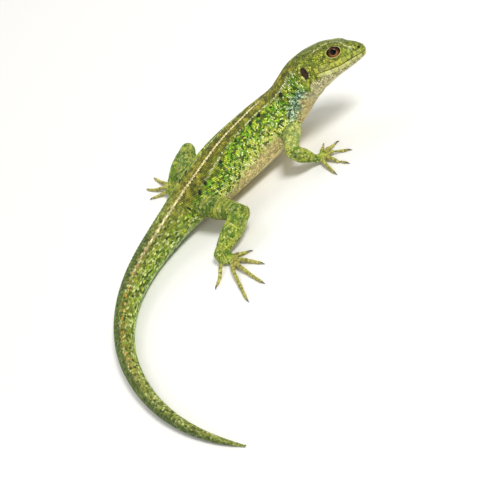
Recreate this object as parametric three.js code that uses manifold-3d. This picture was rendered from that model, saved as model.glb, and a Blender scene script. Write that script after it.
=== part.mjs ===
// Wall lizard, life size, standing alert with its head raised and its tail in a bow.
// Millimetres, +Z up. The lizard walks towards -Y and its left side is +X. The floor is Z = 0,
// and the origin lies on the floor under the middle of the whole animal.
import * as THREE from 'three';
import { mergeVertices } from 'three/addons/utils/BufferGeometryUtils.js';
import Module from 'manifold-3d';

const wasm = await Module();
wasm.setup();

// ---------------------------------------------------------------- driving dimensions

const HIP_POINT = new THREE.Vector2(21.9, 9.5);   // place of the hips on the floor
const HIP_STATION = 65;                           // distance of the hips behind the snout
const GAP = 0.2;                                  // thin cut between two neighbouring parts

// Stations down the body. at: distance behind the snout, heading: degrees to the animal's left,
// height: of the section's axis, roll: degrees that the top leans left, wide: half width,
// top and bottom: above and below the axis, crown and belly: fullness, 2 being an ellipse.
const STATIONS = [
  { at: 0, heading: -31, height: 17.9, roll: 26, wide: 1.5, top: 1.6, bottom: 1.0, crown: 2.3, belly: 2.2 },
  { at: 2, heading: -31, height: 18.1, roll: 26, wide: 2.9, top: 3.0, bottom: 1.9, crown: 2.6, belly: 2.3 },
  { at: 5, heading: -31, height: 18.35, roll: 26, wide: 4.0, top: 4.4, bottom: 2.9, crown: 2.8, belly: 2.4 },
  { at: 8, heading: -31, height: 18.6, roll: 26, wide: 4.8, top: 5.5, bottom: 3.8, crown: 2.8, belly: 2.5 },
  { at: 11, heading: -31, height: 18.75, roll: 26, wide: 5.4, top: 5.9, bottom: 4.8, crown: 2.7, belly: 2.5 },
  { at: 14, heading: -31, height: 18.7, roll: 25, wide: 5.8, top: 5.8, bottom: 5.7, crown: 2.6, belly: 2.4 },
  { at: 17, heading: -30, height: 18.2, roll: 22, wide: 5.7, top: 5.6, bottom: 6.4, crown: 2.4, belly: 2.3 },
  { at: 22, heading: -26, height: 15.8, roll: 14, wide: 5.5, top: 5.6, bottom: 6.4, crown: 2.2, belly: 2.2 },
  { at: 27, heading: -21, height: 13.0, roll: 6, wide: 6.0, top: 5.9, bottom: 6.4, crown: 2.2, belly: 2.3 },
  { at: 32, heading: -15, height: 11.1, roll: 1, wide: 7.3, top: 6.4, bottom: 6.7, crown: 2.2, belly: 2.5 },
  { at: 39, heading: -8.5, height: 9.7, roll: 0, wide: 8.4, top: 6.7, bottom: 7.0, crown: 2.2, belly: 2.6 },
  { at: 49, heading: -2, height: 8.7, roll: 0, wide: 8.7, top: 6.8, bottom: 6.9, crown: 2.2, belly: 2.6 },
  { at: 59, heading: 2, height: 7.7, roll: 0, wide: 7.8, top: 6.2, bottom: 6.3, crown: 2.2, belly: 2.6 },
  { at: 65, heading: 4, height: 6.9, roll: 0, wide: 6.3, top: 5.6, bottom: 5.5, crown: 2.1, belly: 2.4 },
  { at: 71, heading: 6.5, height: 5.9, roll: 0, wide: 5.2, top: 5.0, bottom: 4.8, crown: 2.1, belly: 2.2 },
  { at: 79, heading: 14, height: 4.75, roll: 0, wide: 4.4, top: 4.4, bottom: 4.4, crown: 2.1, belly: 2.1 },
  { at: 91, heading: 34, height: 3.75, roll: 0, wide: 3.6, top: 3.6, bottom: 3.7, crown: 2.1, belly: 2.1 },
  { at: 104, heading: 59, height: 2.95, roll: 0, wide: 2.85, top: 2.9, bottom: 3.0, crown: 2.1, belly: 2.1 },
  { at: 119, heading: 82.5, height: 2.35, roll: 0, wide: 2.35, top: 2.35, bottom: 2.4, crown: 2.0, belly: 2.0 },
  { at: 134, heading: 97.5, height: 1.85, roll: 0, wide: 1.87, top: 1.87, bottom: 1.9, crown: 2.0, belly: 2.0 },
  { at: 149, heading: 111.5, height: 1.32, roll: 0, wide: 1.35, top: 1.35, bottom: 1.37, crown: 2.0, belly: 2.0 },
  { at: 160, heading: 121, height: 0.84, roll: 0, wide: 0.88, top: 0.86, bottom: 0.89, crown: 2.0, belly: 2.0 },
  { at: 168, heading: 128, height: 0.36, roll: 0, wide: 0.4, top: 0.38, bottom: 0.4, crown: 2.0, belly: 2.0 },
];

// The body is cut across its length into these parts, named from the snout to the tail's tip.
const BODY_PARTS = [
  { name: 'neck', from: 18.5, to: 27.5, sides: 20, step: 2.2, color: 0x6f9a2c },
  { name: 'trunk', from: 27.5, to: 68, sides: 20, step: 3.1, color: 0x5f9330 },
  { name: 'tail_base', from: 68, to: 88, sides: 16, step: 2.9, color: 0x6b9a34 },
  { name: 'tail_front', from: 88, to: 110, sides: 14, step: 2.9, color: 0x6b9a34 },
  { name: 'tail_middle', from: 110, to: 132, sides: 12, step: 2.9, color: 0x6b9a34 },
  { name: 'tail_rear', from: 132, to: 151, sides: 10, step: 2.9, color: 0x6b9a34 },
  { name: 'tail_tip', from: 151, to: 168, sides: 8, step: 2.4, color: 0x6b9a34 },
];
const HEAD = { to: 18.5, sides: 22, step: 2.0, color: 0x7a9430 };
const SNOUT_ROUNDING = 0.45;                      // how far the snout bulges past station 0
const SNOUT_STATIONS = [0, 0.8, 1.8];             // close sections behind the rounded snout

// The mouth's line on the head's side, as distance behind the snout and height above the axis.
const MOUTH = { lip: 0.0, middleAt: 8, middle: -1.5, cornerAt: 12.9, corner: -0.4 };
const JAW_COLOR = 0xb7bf8c;
const JAW_REAR = { at: 14.6, drop: -3.6, below: -9 };   // the lower jaw's edge behind the corner

const EYE = { behind: 7.6, above: 2.75, side: 2.55, radius: 2.2, color: 0x6a4420 };
const EAR = { behind: 15.3, above: 1.1, long: 0.75, high: 1.6, deep: 0.45, sunk: 0.75, color: 0x4a3a20 };

// Sizes of a fore and a hind leg, as half widths: at the root, in the upper muscle, at the elbow
// or knee, in the lower muscle, at the wrist or ankle, across the sole and at a digit's base.
const FORE_SIZES = {
  first: 'upper_arm', second: 'forearm', foot: 'hand', digit: 'digit',
  root: 2.3, belly: 2.45, joint: 1.85, shank: 2.05, ankle: 1.2, sole: 1.75, digitBase: 0.52,
};
const HIND_SIZES = {
  first: 'thigh', second: 'shank', foot: 'foot', digit: 'toe',
  root: 2.9, belly: 3.1, joint: 2.35, shank: 2.75, ankle: 1.75, sole: 1.85, digitBase: 0.56,
};

// Each leg's joints from shoulder or hip to wrist or ankle, the middle of its sole, and the tips of
// its digits from the inner to the outer, as forward, left and height from the hips' point. from:
// the digit's root between the ankle (0) and the sole (1), bow: how far it curves to its left.
const LEGS = {
  fore_right: {
    sizes: FORE_SIZES,
    joints: [[35.4, -5.2, 9.6], [28.4, -14.5, 7.7], [32.6, -16.0, 1.9]],
    sole: [34.6, -15.6, 0.87],
    digits: [
      { tip: [37.5, -10.6], from: 0.9, bow: 0.3 }, { tip: [40.6, -14.2], from: 1, bow: 0.3 },
      { tip: [40.9, -20.8], from: 1, bow: 0.4 }, { tip: [37.7, -24.5], from: 0.9, bow: -0.2 },
      { tip: [33.3, -24.6], from: 0.6, bow: -0.3 },
    ],
  },
  fore_left: {
    sizes: FORE_SIZES,
    joints: [[35.8, 5.2, 9.6], [27.6, 11.9, 6.4], [34.0, 13.2, 1.9]],
    sole: [35.7, 13.1, 0.87],
    digits: [
      { tip: [39.0, 8.3], from: 0.9, bow: -0.3 }, { tip: [42.0, 11.9], from: 1, bow: -0.3 },
      { tip: [42.4, 17.9], from: 1, bow: 0.4 }, { tip: [39.4, 21.6], from: 0.9, bow: 0.5 },
      { tip: [34.8, 21.9], from: 0.6, bow: 0.3 },
    ],
  },
  hind_right: {
    sizes: HIND_SIZES,
    joints: [[1.2, -3.6, 7.0], [8.4, -18.2, 6.2], [-3.3, -19.9, 2.1]],
    sole: [-1.7, -23.2, 0.92],
    digits: [
      { tip: [4.1, -25.4], from: 0.9, bow: 0.3 }, { tip: [4.1, -32.6], from: 1, bow: 0.2 },
      { tip: [0.9, -38.4], from: 1, bow: -0.3 }, { tip: [-5.1, -39.7], from: 0.9, bow: -0.4 },
      { tip: [-9.8, -27.5], from: 0.1, bow: 0.5 },
    ],
  },
  hind_left: {
    sizes: HIND_SIZES,
    joints: [[1.2, 3.6, 7.0], [8.9, 18.0, 8.6], [-2.3, 17.9, 2.1]],
    sole: [-1.3, 20.5, 0.92],
    digits: [
      { tip: [5.4, 23.2], from: 0.9, bow: -0.3 }, { tip: [3.0, 28.2], from: 1, bow: -0.2 },
      { tip: [-4.0, 32.2], from: 1, bow: 0.3 }, { tip: [-8.0, 30.0], from: 0.9, bow: 0.5 },
      { tip: [-9.0, 24.4], from: 0.1, bow: -0.5 },
    ],
  },
};
const LEG_COLOR = 0x7fa03a;
const LEG_SIDES = 10;
const LEG_STEPS = 7;
const MUSCLE_BELLY = 0.45;      // where a muscle is thickest, as a share of its length

const PAD_STEPS = 5;
const PAD = { overlap: 0.9, reach: 0.75, thick: 0.95, edge: 0.55, narrowing: 0.6 };

// A digit's arch from its base to the claw: share of the way, share of its bow, and height.
const DIGIT_ARCH = [
  { share: 0, bow: 0, height: 0.95 },
  { share: 0.3, bow: 0.8, height: 1.2 },
  { share: 0.65, bow: 1, height: 0.5 },
  { share: 1, bow: 0.5, height: 0.42 },
];
const DIGIT_COLOR = 0x8f9c40;
const DIGIT_SIDES = 6;
const DIGIT_STEPS = 7;
const DIGIT_ROOT = 0.55;        // start of a digit, in half widths of the sole from its middle
const DIGIT_TIP_RADIUS = 0.36;  // just before the claw
// A claw's point is set a little low, so that the floor's plane cuts a small flat on it.
const CLAW = {
  length: 1.5, hump: 0.5, humpShare: 0.45, baseRadius: 0.28, pointRadius: 0.1, pointHeight: 0.05,
};

// ---------------------------------------------------------------- curves through the stations

// Shape-preserving cubic through the values of one column, without overshoot between stations.
function columnCurve(xs, ys) {
  const last = xs.length - 1;
  const slope = (i) => (ys[i + 1] - ys[i]) / (xs[i + 1] - xs[i]);
  const tangents = xs.map((x, i) => {
    if (i === 0) return slope(0);
    if (i === last) return slope(last - 1);
    const before = slope(i - 1);
    const after = slope(i);
    if (before * after <= 0) return 0;
    const widthBefore = x - xs[i - 1];
    const widthAfter = xs[i + 1] - x;
    const weightBefore = 2 * widthAfter + widthBefore;
    const weightAfter = widthAfter + 2 * widthBefore;
    return (weightBefore + weightAfter) / (weightBefore / before + weightAfter / after);
  });
  return (x) => {
    let i = xs.findIndex((value) => value > x) - 1;
    if (i === -2) i = last - 1;
    i = Math.max(i, 0);
    const width = xs[i + 1] - xs[i];
    const t = (x - xs[i]) / width;
    const t2 = t * t;
    const t3 = t2 * t;
    return (2 * t3 - 3 * t2 + 1) * ys[i] + (t3 - 2 * t2 + t) * width * tangents[i]
      + (3 * t2 - 2 * t3) * ys[i + 1] + (t3 - t2) * width * tangents[i + 1];
  };
}

const stationAt = STATIONS.map((station) => station.at);
const column = (name) => columnCurve(stationAt, STATIONS.map((station) => station[name]));
const BODY = {
  heading: column('heading'), height: column('height'), roll: column('roll'), wide: column('wide'),
  top: column('top'), bottom: column('bottom'), crown: column('crown'), belly: column('belly'),
};
const BODY_END = stationAt[stationAt.length - 1];

// ---------------------------------------------------------------- the spine

// A point given as forward, left and height from the hips' point on the floor.
function place(forward, left, height) {
  return new THREE.Vector3(HIP_POINT.x + left, HIP_POINT.y - forward, height);
}

const SPINE_STEP = 0.25;
const SPINE_OVERRUN = 1;        // the spine runs this far past the snout and the tail's tip

// Walks from the snout to the tail's tip, turning with the heading, and notes each point.
function walkSpine() {
  const points = [];
  let forward = 0;
  let left = 0;
  for (let at = -SPINE_OVERRUN; at <= BODY_END + SPINE_OVERRUN + 1e-6; at += SPINE_STEP) {
    const station = THREE.MathUtils.clamp(at, 0, BODY_END);
    points.push({ forward, left, height: BODY.height(station) });
    const heading = THREE.MathUtils.degToRad(BODY.heading(station));
    const climb = BODY.height(Math.min(station + SPINE_STEP, BODY_END)) - BODY.height(station);
    const run = Math.sqrt(SPINE_STEP ** 2 - climb ** 2);
    forward -= Math.cos(heading) * run;
    left -= Math.sin(heading) * run;
  }
  const hip = points[Math.round((HIP_STATION + SPINE_OVERRUN) / SPINE_STEP)];
  return points.map((p) => place(p.forward - hip.forward, p.left - hip.left, p.height));
}
const SPINE = walkSpine();

function spinePoint(at) {
  const index = THREE.MathUtils.clamp((at + SPINE_OVERRUN) / SPINE_STEP, 0, SPINE.length - 1.001);
  const i = Math.floor(index);
  return SPINE[i].clone().lerp(SPINE[i + 1], index - i);
}

// Axes of the body at a station: ahead along the spine, left across it and up out of the back.
function bodyFrame(at) {
  const reach = 0.6;
  const ahead = spinePoint(at - reach).sub(spinePoint(at + reach)).normalize();
  const left = new THREE.Vector3(0, 0, 1).cross(ahead).normalize();
  const up = ahead.clone().cross(left);
  const roll = THREE.MathUtils.degToRad(BODY.roll(THREE.MathUtils.clamp(at, 0, BODY_END)));
  left.applyAxisAngle(ahead, -roll);
  up.applyAxisAngle(ahead, -roll);
  return { origin: spinePoint(at), ahead, left, up };
}

// A point given in the axes of one station: ahead of it, left of it and above it.
function fromFrame(frame, ahead, left, up) {
  return frame.origin.clone()
    .addScaledVector(frame.ahead, ahead)
    .addScaledVector(frame.left, left)
    .addScaledVector(frame.up, up);
}

function frameMatrix(frame) {
  const axes = new THREE.Matrix4().makeBasis(frame.ahead, frame.left, frame.up);
  return axes.setPosition(frame.origin);
}

// ---------------------------------------------------------------- closed shapes

// One section of the body: a full ellipse whose upper and lower halves have their own size.
function bodyRing(at, sides, grow, shrink = 1) {
  const frame = bodyFrame(at);
  const station = THREE.MathUtils.clamp(at, 0, BODY_END);
  const ring = [];
  for (let i = 0; i < sides; i += 1) {
    const angle = (i / sides) * Math.PI * 2;
    const c = Math.cos(angle);
    const s = Math.sin(angle);
    const power = 2 / (s > 0 ? BODY.crown(station) : BODY.belly(station));
    const reach = s > 0 ? BODY.top(station) : BODY.bottom(station);
    const across = (BODY.wide(station) + grow) * shrink * Math.sign(c) * Math.abs(c) ** power;
    const upward = (reach + grow) * shrink * Math.sign(s) * Math.abs(s) ** power;
    ring.push(fromFrame(frame, 0, across, upward));
  }
  return ring;
}

// A closed skin over a row of rings, with a fan on each end. The rings turn left-handed about
// the direction in which they follow each other, so that the faces point out.
function skinRings(rings) {
  const sides = rings[0].length;
  const points = rings.flat();
  const middle = (ring) => ring.reduce((sum, p) => sum.add(p), new THREE.Vector3()).divideScalar(sides);
  const first = points.push(middle(rings[0])) - 1;
  const last = points.push(middle(rings[rings.length - 1])) - 1;
  const end = (rings.length - 1) * sides;
  const index = [];
  for (let i = 0; i < sides; i += 1) {
    const j = (i + 1) % sides;
    index.push(first, i, j);
    index.push(last, end + j, end + i);
    for (let r = 0; r < rings.length - 1; r += 1) {
      const a = r * sides;
      const b = a + sides;
      index.push(a + i, b + i, a + j);
      index.push(a + j, b + i, b + j);
    }
  }
  const geometry = new THREE.BufferGeometry().setFromPoints(points);
  geometry.setIndex(index);
  return geometry;
}

function stepsBetween(from, to, step) {
  const count = Math.max(Math.round((to - from) / step), 1);
  return Array.from({ length: count + 1 }, (_, i) => from + ((to - from) * i) / count);
}

function bodyLength(part, grow = 0) {
  const rings = stepsBetween(part.from + GAP / 2 - grow, part.to - GAP / 2 + grow, part.step)
    .map((at) => bodyRing(at, part.sides, grow));
  return toSolid(skinRings(rings));
}

// The head's rings start with two small ones, which round the snout.
function headShape() {
  const rings = [
    bodyRing(-SNOUT_ROUNDING, HEAD.sides, 0, 0.45),
    bodyRing(-SNOUT_ROUNDING / 2, HEAD.sides, 0, 0.82),
  ];
  const stations = [...SNOUT_STATIONS, ...stepsBetween(3, HEAD.to - GAP / 2, HEAD.step)];
  stations.forEach((at) => rings.push(bodyRing(at, HEAD.sides, 0)));
  return toSolid(skinRings(rings));
}

// A round or flattened tube along a curve. size(t) gives its half width and half height.
function tube(curve, size, sides, steps) {
  const rings = [];
  const across = curve.getPoint(1).sub(curve.getPoint(0)).setZ(0).normalize();
  const level = new THREE.Vector3(-across.y, across.x, 0);
  for (let k = 0; k <= steps; k += 1) {
    const t = k / steps;
    const centre = curve.getPointAt(t);
    const along = curve.getTangentAt(t);
    const side = level.clone().addScaledVector(along, -level.dot(along)).normalize();
    const up = along.clone().cross(side);
    const [halfWidth, halfHeight] = size(t);
    const ring = [];
    for (let i = 0; i < sides; i += 1) {
      const angle = -(i / sides) * Math.PI * 2;
      ring.push(centre.clone()
        .addScaledVector(side, halfWidth * Math.cos(angle))
        .addScaledVector(up, halfHeight * Math.sin(angle)));
    }
    rings.push(ring);
  }
  return toSolid(skinRings(rings));
}

// ---------------------------------------------------------------- joins and cuts

function toSolid(geometry) {
  const bare = geometry.clone();
  bare.deleteAttribute('normal');
  bare.deleteAttribute('uv');
  const merged = mergeVertices(bare, 1e-5);
  const vertProperties = new Float32Array(merged.attributes.position.array);
  const triVerts = new Uint32Array(merged.index.array);
  return new wasm.Manifold(new wasm.Mesh({ numProp: 3, vertProperties, triVerts }));
}

function toGeometry(solid) {
  const mesh = solid.getMesh();
  const geometry = new THREE.BufferGeometry();
  geometry.setAttribute('position', new THREE.BufferAttribute(new Float32Array(mesh.vertProperties), 3));
  geometry.setIndex(Array.from(mesh.triVerts));
  return geometry;
}

// Takes the cutters away and keeps the largest piece that is left.
function cutAway(solid, cutters) {
  const rest = cutters.reduce((body, cutter) => body.subtract(cutter), solid);
  return rest.decompose().reduce((best, piece) => (piece.volume() > best.volume() ? piece : best));
}

const aboveFloor = (solid) => solid.trimByPlane([0, 0, 1], 0);

const group = new THREE.Group();

function addPart(name, solid, color, roughness = 0.55) {
  const geometry = toGeometry(solid);
  geometry.computeVertexNormals();
  const material = new THREE.MeshStandardMaterial({ color, roughness, metalness: 0 });
  const mesh = new THREE.Mesh(geometry, material);
  mesh.name = name;
  group.add(mesh);
}

// ---------------------------------------------------------------- head, eyes, ears and jaw

const SIDES = { right: -1, left: 1 };

function ellipsoid(at, ahead, left, up, radii, segments) {
  const frame = bodyFrame(at);
  const ball = new THREE.SphereGeometry(1, segments, segments / 2 + 2);
  ball.scale(radii[0], radii[1], radii[2]);
  const axes = new THREE.Matrix4().makeBasis(frame.ahead, frame.left, frame.up);
  ball.applyMatrix4(axes.setPosition(fromFrame(frame, ahead, left, up)));
  return toSolid(ball);
}

function eyeball(side, grow) {
  const radius = EYE.radius + grow;
  return ellipsoid(EYE.behind, 0, side * EYE.side, EYE.above, [radius, radius, radius], 12);
}

// How far the head's side stands out from the axis at a height above it.
function sideReach(at, above) {
  const share = Math.abs(above) / BODY.top(at);
  return BODY.wide(at) * (1 - share ** BODY.crown(at)) ** (1 / BODY.crown(at));
}

function eardrum(side, grow, outward) {
  const depth = EAR.deep + grow + outward;
  const across = sideReach(EAR.behind, EAR.above) - EAR.sunk;
  const radii = [EAR.long + grow, depth, EAR.high + grow];
  return ellipsoid(EAR.behind, 0, side * across, EAR.above, radii, 10);
}

// Everything below the mouth's line and ahead of the jaw's rear edge, as a wide prism.
function belowMouth(grow) {
  const frame = bodyFrame(0);
  const outline = new THREE.Shape();
  outline.moveTo(4, MOUTH.lip + grow);
  outline.lineTo(0, MOUTH.lip + grow);
  outline.quadraticCurveTo(-MOUTH.middleAt, MOUTH.middle + grow, -MOUTH.cornerAt, MOUTH.corner + grow);
  outline.lineTo(-JAW_REAR.at - grow, JAW_REAR.drop);
  outline.lineTo(-JAW_REAR.at - grow, JAW_REAR.below);
  outline.lineTo(4, JAW_REAR.below);
  const width = 20;
  const prism = new THREE.ExtrudeGeometry(outline, { depth: width, bevelEnabled: false, curveSegments: 8 });
  prism.translate(0, 0, -width / 2);
  prism.rotateX(Math.PI / 2);
  prism.applyMatrix4(frameMatrix(frame));
  return toSolid(prism);
}

const wholeHead = headShape();
const eyeSockets = Object.values(SIDES).map((side) => eyeball(side, GAP));
const earPits = Object.values(SIDES).map((side) => eardrum(side, GAP, EAR.sunk));
addPart('head', cutAway(wholeHead, [belowMouth(GAP / 2), ...eyeSockets, ...earPits]), HEAD.color);
const lowerJaw = wholeHead.intersect(belowMouth(-GAP / 2));
addPart('lower_jaw', cutAway(lowerJaw, [...eyeSockets, ...earPits]), JAW_COLOR);
Object.entries(SIDES).forEach(([name, side]) => {
  addPart(`eye_${name}`, eyeball(side, 0), EYE.color, 0.1);
  addPart(`ear_${name}`, eardrum(side, 0, 0), EAR.color, 0.4);
});

// ---------------------------------------------------------------- neck, trunk and tail

BODY_PARTS.forEach((part) => addPart(part.name, aboveFloor(bodyLength(part)), part.color));

// ---------------------------------------------------------------- legs

const bodyCutters = BODY_PARTS.slice(0, 3).map((part) => bodyLength(part, GAP));

// A muscle between two joints: thick in its belly, and rounded off past both of its ends.
function limbSegment(start, end, radii, grow) {
  const [r0, r1, r2] = radii.map((radius) => radius + grow);
  const along = end.clone().sub(start).normalize();
  const line = new THREE.LineCurve3(
    start.clone().addScaledVector(along, -r0),
    end.clone().addScaledVector(along, r2),
  );
  const length = line.getLength();
  const profile = columnCurve([0, r0, length * MUSCLE_BELLY, length - r2, length], [r0, r0, r1, r2, r2]);
  const rounding = (inward) => Math.sqrt(Math.max(1 - Math.max(1 - inward, 0) ** 2, 0.02));
  const size = (t) => {
    const x = t * length;
    const radius = profile(x) * rounding(x / r0) * rounding((length - x) / r2);
    return [radius, radius];
  };
  return tube(line, size, LEG_SIDES, LEG_STEPS);
}

// The palm or sole: a flattened pad from the wrist or ankle to just past its middle.
function footPad(ankle, sole, sizes, grow) {
  const along = sole.clone().sub(ankle).setZ(0).normalize();
  const curve = new THREE.CatmullRomCurve3([
    ankle.clone().addScaledVector(along, -PAD.overlap),
    ankle.clone().lerp(sole, 0.5),
    sole,
    sole.clone().addScaledVector(along, sizes.sole * PAD.reach),
  ]);
  const ways = [0, 0.3, 0.75, 1];
  const width = columnCurve(ways, [sizes.ankle, sizes.ankle * 1.1, sizes.sole, sizes.sole * PAD.narrowing]);
  const height = columnCurve(ways, [sizes.ankle, sizes.ankle, PAD.thick, PAD.edge]);
  return tube(curve, (t) => [width(t) + grow, height(t) + grow], LEG_SIDES, PAD_STEPS);
}

// A digit that arches from the pad to the floor and ends in a hooked claw.
function digitShape(digit, ankle, sole, sizes, grow) {
  const start = ankle.clone().lerp(sole, digit.from);
  const tip = place(digit.tip[0], digit.tip[1], CLAW.pointHeight);
  const flat = tip.clone().sub(start).setZ(0);
  const reach = flat.length();
  const along = flat.normalize();
  const side = new THREE.Vector3(-along.y, along.x, 0);
  const onWay = (distance, bow, height) => {
    const point = start.clone().addScaledVector(along, distance);
    return point.addScaledVector(side, digit.bow * bow).setZ(height);
  };
  const base = sizes.sole * DIGIT_ROOT;
  const clawBase = reach - CLAW.length;
  const points = DIGIT_ARCH.map((p) => onWay(base + (clawBase - base) * p.share, p.bow, p.height));
  points.push(onWay(clawBase + CLAW.length * CLAW.humpShare, CLAW.humpShare / 2, CLAW.hump), tip);
  const curve = new THREE.CatmullRomCurve3(points, false, 'centripetal');
  const clawAt = 1 - CLAW.length / (reach - base);
  const radius = columnCurve(
    [0, 0.3, clawAt, clawAt + 0.04, 1],
    [sizes.digitBase, sizes.digitBase * 0.95, DIGIT_TIP_RADIUS, CLAW.baseRadius, CLAW.pointRadius],
  );
  const size = (t) => [radius(t) + grow, radius(t) + grow];
  return tube(curve, size, DIGIT_SIDES, DIGIT_STEPS);
}

Object.entries(LEGS).forEach(([leg, { sizes, joints, sole, digits }]) => {
  const [root, bend, ankle] = joints.map((joint) => place(...joint));
  const pad = place(...sole);
  const firstRadii = [sizes.root, sizes.belly, sizes.joint];
  const secondRadii = [sizes.joint, sizes.shank, sizes.ankle];
  const first = (grow) => limbSegment(root, bend, firstRadii, grow);
  const second = (grow) => limbSegment(bend, ankle, secondRadii, grow);
  const foot = (grow) => footPad(ankle, pad, sizes, grow);

  addPart(`${leg}_${sizes.first}`, cutAway(first(0), bodyCutters), LEG_COLOR);
  addPart(`${leg}_${sizes.second}`, cutAway(second(0), [first(GAP), ...bodyCutters]), LEG_COLOR);
  addPart(`${leg}_${sizes.foot}`, aboveFloor(cutAway(foot(0), [second(GAP), first(GAP)])), LEG_COLOR);

  const placed = [];
  digits.forEach((digit, i) => {
    const shape = digitShape(digit, ankle, pad, sizes, 0);
    const solid = aboveFloor(cutAway(shape, [foot(GAP), second(GAP), ...placed]));
    addPart(`${leg}_${sizes.digit}_${i + 1}`, solid, DIGIT_COLOR);
    placed.push(digitShape(digit, ankle, pad, sizes, GAP));
  });
});

export default group;
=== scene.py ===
"""A life-size museum model of a green wall lizard, laid out as a scene add-on.

Sizes are in millimetres unless a name or a property's unit says otherwise; meshes are in metres.
The lizard walks towards -Y, its left side is +X, and the floor is Z = 0.
"""

import math

import bmesh
import bpy
import numpy as np
from bpy.props import FloatProperty, FloatVectorProperty, PointerProperty
from mathutils import Matrix, Vector
from mathutils.bvhtree import BVHTree
from mathutils.kdtree import KDTree


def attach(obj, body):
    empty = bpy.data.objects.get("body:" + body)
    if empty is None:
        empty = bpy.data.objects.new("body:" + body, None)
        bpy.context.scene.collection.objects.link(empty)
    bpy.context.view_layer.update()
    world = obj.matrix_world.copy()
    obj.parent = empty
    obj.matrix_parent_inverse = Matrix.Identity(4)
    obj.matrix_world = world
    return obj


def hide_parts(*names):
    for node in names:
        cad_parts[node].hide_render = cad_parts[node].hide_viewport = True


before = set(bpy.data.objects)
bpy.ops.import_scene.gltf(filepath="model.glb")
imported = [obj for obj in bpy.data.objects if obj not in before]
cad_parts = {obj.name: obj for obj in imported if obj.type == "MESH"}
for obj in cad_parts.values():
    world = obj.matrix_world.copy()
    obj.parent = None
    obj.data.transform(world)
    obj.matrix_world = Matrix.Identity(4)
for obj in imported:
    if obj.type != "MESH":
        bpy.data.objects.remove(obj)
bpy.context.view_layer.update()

bl_info = {
    "name": "Wall Lizard Model",
    "version": (1, 0, 0),
    "blender": (4, 5, 0),
    "location": "3D View > Sidebar > Lizard",
    "description": "Builds a life-size wall lizard: skin, scales, eyes, claws and a plain stage",
    "category": "Add Mesh",
}

MM = 0.001  # one millimetre in scene units


def linear(text):
    """An sRGB hex colour such as '#6F9A2C' as linear red, green and blue, and full alpha."""
    shares = [int(text[i:i + 2], 16) / 255 for i in (1, 3, 5)]
    return (*[s / 12.92 if s <= 0.04045 else ((s + 0.055) / 1.055) ** 2.4 for s in shares], 1.0)


# ---- what a user would change

def length(name, description, millimetres):
    return FloatProperty(name=name, description=description, default=millimetres * MM,
                         min=0.0, unit="LENGTH", precision=5)


def view_angle(name, description, degrees):
    return FloatProperty(name=name, description=description, default=math.radians(degrees),
                         subtype="ANGLE", unit="ROTATION")


def colour(name, description, text):
    return FloatVectorProperty(name=name, description=description, default=linear(text),
                               size=4, min=0.0, max=1.0, subtype="COLOR")


class LizardCoat(bpy.types.PropertyGroup):
    """Sizes of the skin and of the scales that cover it."""
    skin_step: length("Skin step", "Distance between neighbouring points of the skin", 0.365)
    coat_depth: length("Coat depth", "How far the skin lies under the tops of the scales", 0.14)
    back_pitch: length("Back scale", "Distance between two granules on the back", 0.52)
    throat_pitch: length("Throat scale", "Distance between two scales on the throat", 0.62)
    leg_pitch: length("Leg scale", "Distance between two scales on a leg", 0.56)
    foot_pitch: length("Foot scale", "Distance between two scales on a foot or digit", 0.36)
    temple_pitch: length("Temple scale", "Distance between two granules behind the eye", 0.5)
    plate_length: length("Belly plate", "Length of one belly plate along the body", 1.45)
    whorl_length: length("Tail ring", "Length of one ring of scales at the tail's root", 1.05)


class LizardColours(bpy.types.PropertyGroup):
    """Colours of the living animal's coat."""
    back: colour("Back", "Olive brown of the band along the back", "#777F1E")
    back_dark: colour("Back, dark", "Dark olive scales strewn over the back", "#363A0E")
    flank: colour("Flank", "Bright grass green of the sides", "#6FA31A")
    flank_dark: colour("Flank, dark", "Dark green net over the sides", "#2A420E")
    flank_light: colour("Flank, light", "Yellow green patches of the sides", "#C2CA34")
    fleck: colour("Fleck", "Pale flecks of the lower sides", "#D9E6A2")
    turquoise: colour("Turquoise", "Blue green of the neck's side and the shoulder", "#6DA08C")
    belly: colour("Belly", "Cream of the belly plates", "#DCC78A")
    throat: colour("Throat", "Off-white of the throat", "#C2BB8E")
    speck: colour("Speckle", "Grey brown speckles of the throat and lower sides", "#5C5A38")
    stripe: colour("Stripe", "Pale stripe down the middle of the back", "#EBDDA2")
    tail_dot: colour("Tail dot", "Orange brown dots along the top of the tail", "#B4742C")
    leg: colour("Leg", "Yellow green of the legs", "#76922A")
    head: colour("Head", "Olive green of the shields on the head", "#727C1E")
    cheek: colour("Cheek", "Yellow green of the head's side", "#98A42E")


class LizardStage(bpy.types.PropertyGroup):
    """The floor and the camera."""
    floor_width: length("Floor width", "Side of the square floor", 4000)
    camera_distance: length("Camera distance", "From the camera to the point it looks at", 273.57)
    camera_height: view_angle("Camera height", "Angle of the view above the floor", 38)
    camera_roll: view_angle("Camera roll", "Turn of the picture about its middle", 41)
    field_of_view: view_angle("Field of view", "Angle across the picture", 26)


# ---- sums used all over

def smooth(start, end, value):
    """0 before start, 1 after end, and an easy turn between them."""
    share = np.clip((np.asarray(value, float) - start) / (end - start), 0, 1)
    return share * share * (3 - 2 * share)


def bump(centre, width, value):
    """A soft bump, 1 at its centre and gone about two widths away."""
    return np.exp(-((np.asarray(value, float) - centre) / width) ** 2)


def dots(a, b):
    """Scalar product of the rows of two arrays of vectors."""
    return (a * b).sum(-1)


def unit(a):
    return a / np.maximum(np.linalg.norm(a, axis=-1, keepdims=True), 1e-12)


def full_turn(count, start=0.0):
    """Angles that share out a full turn, the first one that share of a step past 0."""
    return (np.arange(count) + start) / count * 2 * math.pi


def running_sum(values):
    """0, and then the sum of all values up to each one."""
    return np.append(0, np.cumsum(values))


def way_along(line):
    """How far along a line each of its points lies."""
    return running_sum(np.linalg.norm(np.diff(line, axis=0), axis=1))


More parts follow.
